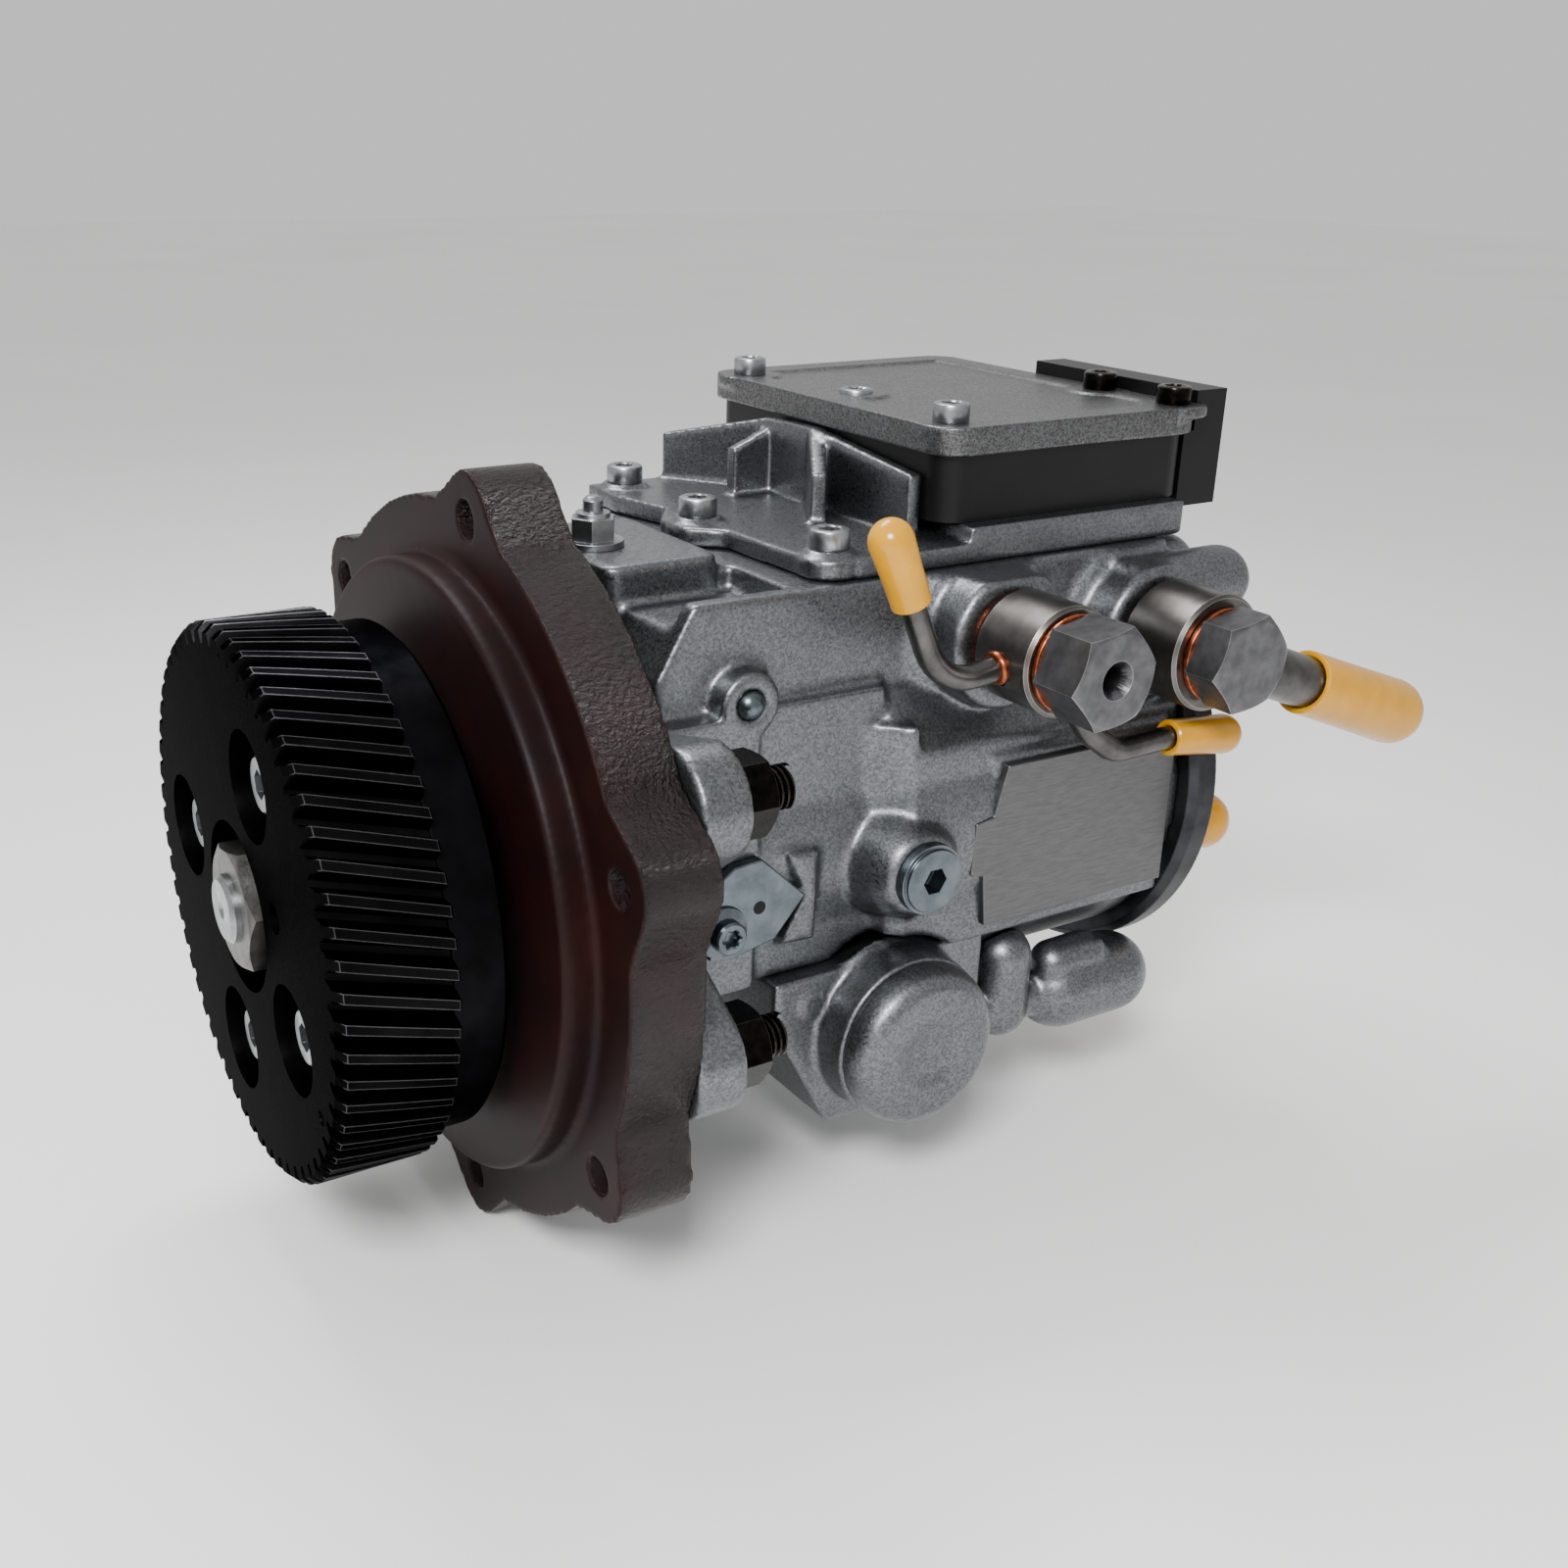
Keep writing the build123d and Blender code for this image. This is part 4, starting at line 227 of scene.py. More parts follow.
blasted = blasted_aluminium("blasted_die_cast_aluminium", "#54575a", "#636669", 0.50, 0.42)
bracket_cast = blasted_aluminium("fine_blasted_bracket", "#57595c", "#66686b", 0.42, 0.38)
plate_cast = blasted_aluminium("die_cast_cover_plate", "#454445", "#525152", 0.40, 0.42)
print("castings", blasted.name, bracket_cast.name, plate_cast.name)

# %% [markdown]
# ## Turned, plated and oxidised steel
# Zinc plating is bright with a faint cloud, black oxide is dark with an oil film, and drawn or
# turned steel is grey. One recipe serves them all, because they differ only in colour, gloss and
# the size of the grain: a cloud mixes two close colours and a fine noise moves the roughness.

# %% Steels, copper and bronze


def plain_metal(
    name, dark, light, roughness,
    cloud_mm=9.0, grain_mm=0.25, depth_mm=0.01, spread_by=0.08, worn=None,
):
    """A metal with a slow cloud in its colour, a fine grain in its gloss and lighter edges."""
    material, shader, place = new_material(name)
    slow = cloud(material, place, cloud_mm)
    fine, normal = grain(material, place, grain_mm, depth_mm, strength=0.6)
    colour = ramp(material, slow, (0.32, dark), (0.68, light))
    if worn:
        colour = blend_colours(material, edge_mask(material, 0.35), colour, worn)
    gloss = spread(material, fine, roughness - spread_by, roughness + spread_by)
    feed(shader, {"Base Color": colour, "Roughness": gloss, "Normal": normal, "Metallic": 1.0})
    return material


zinc = plain_metal("zinc_plated_steel", "#7f8284", "#a9acae", 0.33, 5.0, 0.3, 0.012)
blue_zinc = plain_metal("blue_passivated_zinc_sheet", "#555d61", "#717a7f", 0.30, 6.0, 0.3, 0.010)
white_zinc = plain_metal("matt_zinc_flake_steel", "#4f4e4c", "#6e6d6b", 0.42, 4.0, 0.45, 0.06, 0.16)
black_oxide = plain_metal(
    "oiled_black_oxide_steel", "#0b0a09", "#1d1a17", 0.26, 3.0, 0.35, 0.02, 0.10, "#5a544c"
)
turned_steel = plain_metal(
    "turned_bolt_steel", "#5a5a5c", "#747477", 0.36, 4.0, 0.22, 0.012, 0.08, "#b0aeaa"
)
bright_steel = plain_metal("ground_steel", "#8e8c88", "#bcbab4", 0.24, 8.0, 0.2, 0.004)
union_steel = plain_metal(
    "grey_brown_union_steel", "#55524f", "#6d6a67", 0.32, 7.0, 0.25, 0.008, 0.08, "#bdbab4"
)
pipe_steel = plain_metal("drawn_steel_pipe", "#4b4a48", "#686664", 0.30, 6.0, 0.3, 0.008)
copper = plain_metal("annealed_copper", "#7a3a24", "#b86a48", 0.30, 2.0, 0.25, 0.008)
bronze = plain_metal("turned_bronze", "#8c6c3c", "#b8935a", 0.35)
head_steel = plain_metal(
    "dark_head_steel", "#2b2c2e", "#46474a", 0.45, 10.0, 0.35, 0.03, 0.08, "#7c7e80"
)
spring_wire = plain_metal("oiled_spring_wire", "#4a4a4c", "#707072", 0.30)
print("steels", zinc.name, union_steel.name, pipe_steel.name)

# %% [markdown]
# ## Black gear steel
# The gear is case-hardened and black from the heat. Its teeth were cut by a hob, which leaves fine
# lines across each land, and they have run once on a test bench, so their upper edges are rubbed
# bright. The lighter line there is partly that wear and partly a painted highlight. It is the edge
# mask, kept to the outer half millimetre by the distance from the shaft's axis.

# %% Gear and hub steel


def gear_steel(name, dark, light, tip_r_mm=None):
    """Black hardened steel; near the tooth tips, hob lines and edges of wear and painted highlight.
    """
    material, shader, place = new_material(name)
    slow = cloud(material, place, 12.0)
    fine, normal = grain(material, place, 0.45, 0.02, strength=0.8)
    colour = ramp(material, slow, (0.3, dark), (0.7, light))
    rough = spread(material, fine, 0.30, 0.50)
    if tip_r_mm:
        parts = add_node(material, "ShaderNodeSeparateXYZ", {0: place})
        across = {1: parts.outputs["Y"], 2: parts.outputs["Z"]}
        flat = add_node(material, "ShaderNodeCombineXYZ", across)
        flat = add_node(material, "ShaderNodeVectorMath", {0: flat.outputs[0]}, operation="LENGTH")
        below, crest = (tip_r_mm - 0.8) * MM, (tip_r_mm - 0.3) * MM
        near_tip = {"Value": flat.outputs["Value"], "From Min": below, "From Max": crest}
        tip = add_node(material, "ShaderNodeMapRange", near_tip).outputs["Result"]
        # Lighter tooth edges: partly wear, partly a painted highlight.
        wear_and_edge_highlight = multiply(material, edge_mask(material, 0.4), tip)
        colour = blend_colours(material, wear_and_edge_highlight, colour, "#6d6d70")
        marks = {"Vector": place, "Scale": per_mm(0.9) / 20.0, "Distortion": 2.0, "Detail": 2.0}
        lines = add_node(material, "ShaderNodeTexWave", marks, bands_direction="X")
        bump = {"Height": lines.outputs["Fac"], "Distance": 0.03 * MM, "Strength": 0.5}
        bump["Normal"] = normal
        normal = add_node(material, "ShaderNodeBump", bump).outputs["Normal"]
    feed(shader, {"Base Color": colour, "Roughness": rough, "Normal": normal, "Metallic": 1.0})
    feed(shader, {"Specular Tint": linear("#9a9a9a")})
    return material


gear_black = gear_steel("black_hardened_gear_steel", "#0b0b0c", "#151516", 64.7)
hub_black = gear_steel("black_turned_hub_steel", "#0d0d0e", "#171719")
print("gear", gear_black.name, hub_black.name)

# %% [markdown]
# ## Primer on rough iron
# The adapter flange is sand-cast iron under one coat of red-brown primer. Its rim keeps the coarse
# skin of the mould, whose tiny hills catch the light as white glints, while the faces that were
# turned on a lathe are smooth under the same paint. The mask between the two comes from the
# surface's own direction: faces that look along the shaft were turned. Edges of the spigot are
# rubbed to bare iron, and the lighter colour along every edge, the inner corner at the spigot's
# root too, is also a painted highlight.

# %% Red-brown primer


def primed_iron():
    """Primer on sand-cast iron: glints on the rough rim, smooth where it was turned."""
    material, shader, place = new_material("primed_cast_iron")
    geometry = add_node(material, "ShaderNodeNewGeometry")
    looks = add_node(material, "ShaderNodeSeparateXYZ", {0: geometry.outputs["Normal"]})
    along = add_node(material, "ShaderNodeMath", {0: looks.outputs["X"]}, operation="ABSOLUTE")
    inputs = {"Value": along.outputs[0], "From Min": 0.35, "From Max": 0.80}
    inputs |= {"To Min": 1.0, "To Max": 0.05}
    rough_skin = add_node(material, "ShaderNodeMapRange", inputs).outputs["Result"]
    depth = add_node(material, "ShaderNodeSeparateXYZ", {0: place}).outputs["X"]
    spigot_root = {0: depth, 1: 0.2 * MM}
    behind = add_node(material, "ShaderNodeMath", spigot_root, operation="GREATER_THAN")
    mask = multiply(material, rough_skin, behind.outputs[0])
    coarse_inputs = {"Vector": place, "Scale": per_mm(1.2), "Detail": 4.0, "Roughness": 0.6}
    coarse = add_node(material, "ShaderNodeTexNoise", coarse_inputs).outputs["Fac"]
    height = multiply(material, coarse, mask)
    hills = {"Height": height, "Distance": 2.4 * MM, "Strength": 1.0}
    sand = add_node(material, "ShaderNodeBump", hills)
    fine, normal = grain(material, place, 0.45, 0.03, strength=0.5, after=sand.outputs["Normal"])
    slow = cloud(material, place, 22.0)
    paint = ramp(material, slow, (0.3, "#0e0303"), (0.55, "#170504"), (0.75, "#200705"))
    chips = {"Value": fine, "From Min": 0.40, "From Max": 0.62}
    chips = add_node(material, "ShaderNodeMapRange", chips).outputs["Result"]
    turned = spread(material, mask, 0.55, 0.12)
    # Lighter edges: primer rubbed to bare iron, and partly a painted highlight, root corner too.
    wear_and_edge_highlight = multiply(material, multiply(material, edge_mask(material, 0.7), chips), turned)
    colour = blend_colours(material, wear_and_edge_highlight, paint, "#8a6a5e")
    matt, gloss = spread(material, mask, 0.50, 0.26), spread(material, mask, 0.14, 0.34)
    feed(shader, {"Base Color": colour, "Roughness": matt, "Normal": normal})
    feed(shader, {"Specular IOR Level": gloss})
    return material


primer = primed_iron()
print("primer", primer.name)

# %% [markdown]
# ## Plastics and rubber
# The caps are dipped vinyl: soft, glossy and slightly see-through, so light scatters inside and
# the thin rim glows. The control unit's box is glass-filled nylon, black with a fine spark grain.

# %% Vinyl, nylon, rubber and circuit board


def dipped_vinyl():
    """Soft yellow vinyl that lets a little light in."""
    material, shader, place = new_material("dipped_yellow_vinyl")
    slow = cloud(material, place, 7.0)
    yellow = ramp(material, slow, (0.3, "#c48700"), (0.7, "#d49600"))
    _, normal = grain(material, place, 2.2, 0.10, detail=1.5, strength=0.5)
    feed(shader, {"Base Color": yellow, "Normal": normal, "Roughness": 0.22, "IOR": 1.53})
    inside = {"Weight": 0.05, "Radius": (1.0, 0.45, 0.05), "Scale": 0.8 * MM}
    feed(shader, {"Subsurface " + name: value for name, value in inside.items()})
    return material


def moulded_plastic(name, dark, light, roughness, grain_mm):
    """Moulded plastic or rubber with a fine grain from its mould."""
    material, shader, place = new_material(name)
    slow = cloud(material, place, 12.0)
    fine, normal = grain(material, place, grain_mm, 0.03, strength=0.7)
    colour = ramp(material, slow, (0.3, dark), (0.7, light))
    gloss = spread(material, fine, roughness - 0.08, roughness + 0.08)
    feed(shader, {"Base Color": colour, "Roughness": gloss, "Normal": normal})
    feed(shader, {"IOR": 1.52, "Specular IOR Level": 0.25})
    return material


vinyl = dipped_vinyl()
nylon = moulded_plastic("glass_filled_nylon", "#040405", "#0a0a0b", 0.40, 0.35)
rubber = moulded_plastic("nitrile_rubber", "#0c0c0c", "#161616", 0.6, 0.5)
board_green = moulded_plastic("lacquered_circuit_board", "#0b3a22", "#12502f", 0.35, 0.6)
print("plastics", vinyl.name, nylon.name)

# %% [markdown]
# ## The bare label field
# The real pad was milled flat after blasting, so it is smoother and a shade warmer than the wall
# around it. It is left bare: a fine brushed streak along its length is all that it carries.

# %% Milled pad


def milled_pad():
    """Milled aluminium whose streaks run along the pump."""
    material, shader, place = new_material("milled_aluminium_pad")
    long_cells = {"Vector": place, "Scale": (0.12, 1.0, 1.0)}
    stretched = add_node(material, "ShaderNodeMapping", long_cells).outputs[0]
    inputs = {"Vector": stretched, "Scale": per_mm(0.5), "Detail": 3.0, "Roughness": 0.6}
    streaks = add_node(material, "ShaderNodeTexNoise", inputs).outputs["Fac"]
    grey = ramp(material, streaks, (0.3, "#5f5e5f"), (0.7, "#6f6e6f"))
    gloss = spread(material, streaks, 0.38, 0.52)
    bump = {"Height": streaks, "Distance": 0.02 * MM, "Strength": 0.5}
    normal = add_node(material, "ShaderNodeBump", bump).outputs["Normal"]
    feed(shader, {"Base Color": grey, "Roughness": gloss, "Normal": normal, "Metallic": 1.0})
    return material


pad_aluminium = milled_pad()

FINISHES = {
    "cast_aluminium": blasted,
    "red_cast_iron": primer,
    "gear_steel": gear_black,
    "dark_steel": head_steel,
    "black_steel": black_oxide,
    "plated_steel": zinc,
    "bright_steel": bright_steel,
    "spring_steel": spring_wire,
    "bearing_bronze": bronze,
    "copper": copper,
    "plate_aluminium": plate_cast,
    "black_plastic": nylon,
    "board": board_green,
    "yellow_cap": vinyl,
    "rubber": rubber,
}
SLOT_OF = {part["node"]: part["material_slot"] for part in frame["record"]["subparts"]}
for node, item in frame["nodes"].items():
    item.data.materials.clear()
    item.data.materials.append(FINISHES[SLOT_OF[node]])
print("finishes given to", len(SLOT_OF), "nodes")

# %% [markdown]
# ## From a CAD node to a real edge
# A CAD solid has edges of no width, and real edges are always broken: a casting has radii from
# its mould, and a turned part a small chamfer. Two ways are used. A machined piece is copied, its
# triangles are joined into clean faces, and a Bevel modifier breaks the edges. A casting is copied,
# rebuilt as an even skin with Remesh, and relaxed with Smooth, which rounds outer edges and fills
# inner corners at the same time, as a mould does.

# %% Copies with broken edges
# Angle in degrees below which an edge isn't broken, and the pull of flats on the shading.
SHARPEST_FLAT, FLAT_WEIGHT = 32.0, 80
MOST_TRIANGLES = 190000


def body_of(node):
    """Name of the moving body that carries a node."""
    for body, nodes in frame["record"]["behaviour"]["bodies"].items():
        if node in nodes:
            return body
    return "housing"


def loose_object(name, bm):
    """Turn a bmesh into an object of the scene."""
    mesh = bpy.data.meshes.new(name)
    bm.to_mesh(mesh)
    bm.free()
    item = bpy.data.objects.new(name, mesh)
    bpy.context.scene.collection.objects.link(item)
    return item


def own_piece(name, bm, material, body):
    """Turn a bmesh into a piece with its material, and let it ride on its body."""
    piece = loose_object(name, bm)
    piece.data.materials.append(material)
    if body:
        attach(piece, body)
    return piece


def merged_copy(node):
    """A bmesh copy of a node with its loose triangles joined."""
    bm = bmesh.new()
    bm.from_mesh(frame["nodes"][node].data)
    bmesh.ops.remove_doubles(bm, verts=bm.verts, dist=1e-6)
    return bm


def bake_modifiers(piece):
    """Replace a piece's mesh by what its modifiers make of it."""
    graph = bpy.context.evaluated_depsgraph_get()
    graph.update()
    mesh = bpy.data.meshes.new_from_object(piece.evaluated_get(graph), depsgraph=graph)
    piece.modifiers.clear()
    piece.data = mesh
    return piece


def machined(node, material, width_mm):
    """Stand-in for a turned or milled node, with its edges broken."""
    bm = merged_copy(node)
    bmesh.ops.dissolve_limit(
        bm, angle_limit=radians(1.0), verts=bm.verts, edges=bm.edges, delimit={"NORMAL"}
    )
    piece = own_piece(node + "_machined", bm, material, body_of(node))
    piece.data.shade_smooth()
    break_edges(piece, width_mm)
    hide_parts(node)
    return piece


def break_edges(piece, width_mm):
    """Bevel a piece's sharp edges and keep the shading of its flats even."""
    bevel = piece.modifiers.new("broken edges", "BEVEL")
    bevel.width = width_mm * MM
    bevel.segments = 2
    bevel.limit_method = "ANGLE"
    bevel.angle_limit = radians(SHARPEST_FLAT)
    bevel.use_clamp_overlap = True
    even = piece.modifiers.new("even flats", "WEIGHTED_NORMAL")
    even.keep_sharp = True
    even.weight = FLAT_WEIGHT
    bake_modifiers(piece)


def subtract(piece, cutter):
    """Modifier that takes a cutter away from a piece."""
    cut = piece.modifiers.new("cut away", "BOOLEAN")
    cut.object = cutter
    cut.operation = "DIFFERENCE"
    cut.solver = "EXACT"
    return cut


def cut_away(piece, bm):
    """Take closed bodies away from a piece."""
    bmesh.ops.recalc_face_normals(bm, faces=bm.faces)
    cutter = loose_object("cutter", bm)
    subtract(piece, cutter)
    bake_modifiers(piece)
    bpy.data.objects.remove(cutter)
    piece.data.shade_smooth()


def skin(name, bm, material, voxel_mm, passes, nodes, cutter=None):
    """Cast piece: closed bodies joined in one even skin and relaxed to a mould's radius."""
    bmesh.ops.recalc_face_normals(bm, faces=bm.faces)
    piece = own_piece(name, bm, material, "housing")
    if cutter:
        subtract(piece, cutter).use_self = True
    cover = piece.modifiers.new("even skin", "REMESH")
    cover.mode = "VOXEL"
    cover.voxel_size = voxel_mm * MM
    relax = piece.modifiers.new("mould radius", "SMOOTH")
    relax.factor = 0.5
    relax.iterations = passes
    bake_modifiers(piece)
    triangles = sum(len(face.vertices) - 2 for face in piece.data.polygons)
    if triangles > MOST_TRIANGLES:
        thin = piece.modifiers.new("fewer faces on flats", "DECIMATE")
        thin.ratio = MOST_TRIANGLES / triangles
        bake_modifiers(piece)
    piece.data.shade_smooth()
    if cutter:
        bpy.data.objects.remove(cutter)
    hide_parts(*nodes)
    print(name, "cast skin of", len(piece.data.polygons), "faces")
    return piece


def cast(node, material, voxel_mm, passes, added=None):
    """Cast stand-in for a node, with what the added function puts to it first."""
    bm = merged_copy(node)
    if added:
        added(bm)
    return skin(node + "_cast", bm, material, voxel_mm, passes, [node])


# %% [markdown]
# ## Outlines, rings and bars
# Three small builders make every new shape. A prism is an outline drawn out along an axis. A body
# of rings is a circle that is extruded again and again with a new radius, like a part on a lathe,
# and a ring can be pushed in and out round its axis to make a lobed recess. A pipe is a circle that
# is extruded along its straight runs and spun round its bends, as a pipe bender does it.

# %% Prism, rings and pipe
ALONG_X, TO_NEAR_SIDE = (1, 0, 0), (0, -1, 0)


def add_prism(bm, outline, axis, start, end):
    """Closed prism of an outline in millimetres, from start to end along an axis."""
    order = [start if letter == axis else None for letter in "XYZ"]
    corners = []
    for pair in outline:
        left = list(pair)
        place = [left.pop(0) if value is None else value for value in order]
        corners.append(bm.verts.new(Vector(place) * MM))
    grown = bmesh.ops.extrude_face_region(bm, geom=[bm.faces.new(corners)])["geom"]
    far = [item for item in grown if isinstance(item, bmesh.types.BMVert)]
    way = Vector([0.0 if value is None else end - start for value in order]) * MM
    bmesh.ops.translate(bm, verts=far, vec=way)
    return corners + far


def edges_between(items, verts):
    """Edges among items whose both ends are in a set of verts."""
    edges = [item for item in items if isinstance(item, bmesh.types.BMEdge)]
    return [edge for edge in edges if set(edge.verts) <= verts]


def add_rings(bm, rings, matrix=None, segments=48):
    """Closed body of rings about Z, each (radius, height, lobe depth) in millimetres."""
    loop = bmesh.ops.create_circle(bm, cap_ends=True, segments=segments, radius=1.0)["verts"]
    edges = list({edge for vert in loop for edge in vert.link_edges})
    made = list(loop)
    for number, ring in enumerate(rings):
        radius, height = ring[0], ring[1]
        lobes = ring[2] if len(ring) > 2 else 0.0
        if number:
            grown = bmesh.ops.extrude_edge_only(bm, edges=edges)["geom"]
            loop = [item for item in grown if isinstance(item, bmesh.types.BMVert)]
            fresh = set(loop)
            edges = edges_between(grown, fresh)
            made += loop
        for vert in loop:
            turn = atan2(vert.co.y, vert.co.x)
            reach = radius * MM * (1.0 + lobes * cos(6 * turn))
            vert.co = (reach * cos(turn), reach * sin(turn), height * MM)
    bmesh.ops.contextual_create(bm, geom=edges)
    if matrix:
        bmesh.ops.transform(bm, matrix=matrix, verts=made)
    return made


def at(x, y, z, turn=0.0):
    """Matrix of a place in millimetres, turned about Z first."""
    return Matrix.Translation(Vector((x, y, z)) * MM) @ Matrix.Rotation(radians(turn), 4, "Z")


def on_circle(x, radius, angle):
    """Place at an angle round the shaft, in degrees from +Y towards +Z."""
    return (x, radius * cos(radians(angle)), radius * sin(radians(angle)))


def facing(place, direction):
    """Matrix that stands a body of rings on a place, with its Z along a direction."""
    turn = Vector(direction).to_track_quat("Z", "Y").to_matrix().to_4x4()
    return Matrix.Translation(Vector(place) * MM) @ turn


def add_pipe(bm, route, radius, bends=()):
    """Closed round bar along a route's runs, with a bend of a given radius at each corner."""
    points = [Vector(point) for point in route]
    loop = bmesh.ops.create_circle(bm, cap_ends=True, segments=24, radius=radius * MM)["verts"]
    bmesh.ops.transform(bm, matrix=facing(points[0], points[1] - points[0]), verts=loop)
    edges = list({edge for vert in loop for edge in vert.link_edges})
    place = points[0]
    for number, bend in enumerate(bends):
        corner = points[number + 1]
        way_in = (corner - place).normalized()
        way_out = (points[number + 2] - corner).normalized()
        turn = way_in.angle(way_out)
        reach = bend * tan(turn / 2)
        edges = extrude_by(bm, edges, corner - way_in * reach - place)
        axis = way_in.cross(way_out).normalized()
        centre = corner - way_in * reach + axis.cross(way_in) * bend
        spun = bmesh.ops.spin(
            bm, geom=edges, cent=centre * MM, axis=axis, angle=turn, steps=8, use_merge=False
        )
        edges = [item for item in spun["geom_last"] if isinstance(item, bmesh.types.BMEdge)]
        place = corner + way_out * reach
    edges = extrude_by(bm, edges, points[-1] - place)
    bmesh.ops.contextual_create(bm, geom=edges)
    bmesh.ops.remove_doubles(bm, verts=bm.verts, dist=1e-6)


def extrude_by(bm, edges, way):
    """Extrude a ring of edges along a way in millimetres and give the new ring."""
    grown = bmesh.ops.extrude_edge_only(bm, edges=edges)["geom"]
    fresh = {item for item in grown if isinstance(item, bmesh.types.BMVert)}
    bmesh.ops.translate(bm, verts=list(fresh), vec=way * MM)
    return edges_between(grown, fresh)


def new_piece(name, bm, material, nodes=(), body="housing", edges_mm=0.0):
    """Turn a finished bmesh into a piece with smooth sides and crisp or broken edges."""
    bmesh.ops.recalc_face_normals(bm, faces=bm.faces)
    piece = own_piece(name, bm, material, body)
    piece.data.shade_smooth()
    if edges_mm:
        break_edges(piece, edges_mm)
    else:
        piece.data.set_sharp_from_angle(angle=radians(35))
    if nodes:
        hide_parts(*nodes)
    print(name, len(piece.data.polygons), "faces")
    return piece


# %% [markdown]
# ## Camera
# The camera stands where the photographer stood: a little above the pump, looking past the gear
# along the side with the fuel pipes. Its lens and shift give the photograph's frame.

# %% Camera
camera_data = bpy.data.cameras.new("camera")
camera_data.lens = 39.366
camera_data.sensor_width = 36.0
camera_data.shift_x = 0.0536
camera_data.shift_y = 0.0156
camera_data.clip_start = 0.01
camera = bpy.data.objects.new("camera", camera_data)
bpy.context.scene.collection.objects.link(camera)
camera_turn = Matrix.Rotation(radians(-31.301), 4, "Z")
camera_tilt = Matrix.Rotation(radians(90 - 22.146), 4, "X")
camera_roll = Matrix.Rotation(radians(0.975), 4, "Z")
camera_place = Matrix.Translation(Vector((-146.39, -353.48, 168.44)) * MM)
camera.matrix_world = camera_place @ camera_turn @ camera_tilt @ camera_roll
bpy.context.scene.camera = camera

# %% [markdown]
# ## Floor and light
# The photograph is cut out on white, so the floor and the surroundings are pale and even. A large
# soft light from the upper left draws the long highlights on the castings, and a weaker one from
# behind catches the tops of the gear teeth.

# %% Floor, surroundings and lights
FLOOR_HALF_WIDTH = 4000 * MM
FLOOR_GAP = 0.4 * MM


def make_floor():
    """Sheet of paper just below the lowest point of the pump."""
    bm = bmesh.new()
    bmesh.ops.create_grid(bm, x_segments=1, y_segments=1, size=FLOOR_HALF_WIDTH)
    bmesh.ops.translate(bm, verts=bm.verts, vec=(0, 0, cad_box[0][2] - FLOOR_GAP))
    floor = loose_object("floor", bm)
    material, shader, place = new_material("pale_studio_paper")
    slow = cloud(material, place, 300.0)
    paper = ramp(material, slow, (0.3, "#f8f8f7"), (0.7, "#fdfdfc"))
    feed(shader, {"Base Color": paper, "Roughness": 0.9})
    floor.data.materials.append(material)


def make_world(strength):
    """White surroundings that light every side alike."""
    world = bpy.data.worlds.new("studio")
    world.use_nodes = True
    bpy.context.scene.world = world
    background = world.node_tree.nodes["Background"]
    feed(background, {"Color": linear("#ffffff"), "Strength": strength})


def soft_light(name, place_mm, target_mm, size_mm, power):
    """A rectangular soft box that faces a target."""
    data = bpy.data.lights.new(name, "AREA")
    data.shape = "RECTANGLE"
    data.size = size_mm[0] * MM
    data.size_y = size_mm[1] * MM
    data.energy = power
    light = bpy.data.objects.new(name, data)
    bpy.context.scene.collection.objects.link(light)
    place = Vector(place_mm) * MM
    direction = Vector(target_mm) * MM - place
    turn = direction.to_track_quat("-Z", "Y").to_matrix().to_4x4()
    light.matrix_world = Matrix.Translation(place) @ turn


make_floor()
make_world(0.75)
soft_light("key", (-380, -520, 560), (60, 0, 0), (260, 200), 10)
soft_light("rim", (60, 300, 620), (60, 0, 40), (420, 160), 4)

# %% [markdown]
# ## The castings
# Housing, timing housing and domed cover come from moulds, so no edge on them is sharp. The voxel
# size is chosen by the smallest rib that has to survive, and the number of passes sets the radius:
# about a voxel for every two passes. The timing lobe gets its second swelling before the skin is
# drawn, because Remesh joins closed bodies that overlap into one.

# %% Housing, timing housing and dome
WALL_SLOPE = ((88.0, -40.0), (88.0, -42.6), (97.5, -51.0), (99.0, -51.0), (99.0, -40.0))
WALL_SLOPE_BOTTOM, WALL_SLOPE_TOP = 9.0, 33.0
REAR_LOBE = ((9.0, 0.0), (9.0, 36.0), (8.6, 38.5), (7.2, 40.8), (4.5, 42.4), (1.5, 43.0))
REAR_LOBE_START = (164.0, -44.5, 56.0)


def add_wall_forms(bm):
    """Slope between the two levels of the near wall, and the lobe behind the inlet union."""
    add_prism(bm, WALL_SLOPE, "Z", WALL_SLOPE_BOTTOM, WALL_SLOPE_TOP)
    add_rings(bm, REAR_LOBE, facing(REAR_LOBE_START, ALONG_X), segments=40)


cast("pump_housing", blasted, 1.1, 4, add_wall_forms)


SWELLING_CENTRE, SWELLING_R, SWELLING_HALF = (162.0, -43.5, -47.0), 6.5, 5.5


def add_swelling(bm):
    """Second, smaller swelling on the lobe of the timing valve: a bar with round ends."""
    rings = []
    for step in range(-75, 90, 15):
        height = SWELLING_R * sin(radians(step))
        end = -SWELLING_HALF if height < 0 else SWELLING_HALF
        rings.append((SWELLING_R * cos(radians(step)), height + end))
    along = at(*SWELLING_CENTRE) @ Matrix.Rotation(pi / 2, 4, "Y")
    add_rings(bm, rings, along, segments=32)


cast("timing_housing", blasted, 0.8, 5, add_swelling)

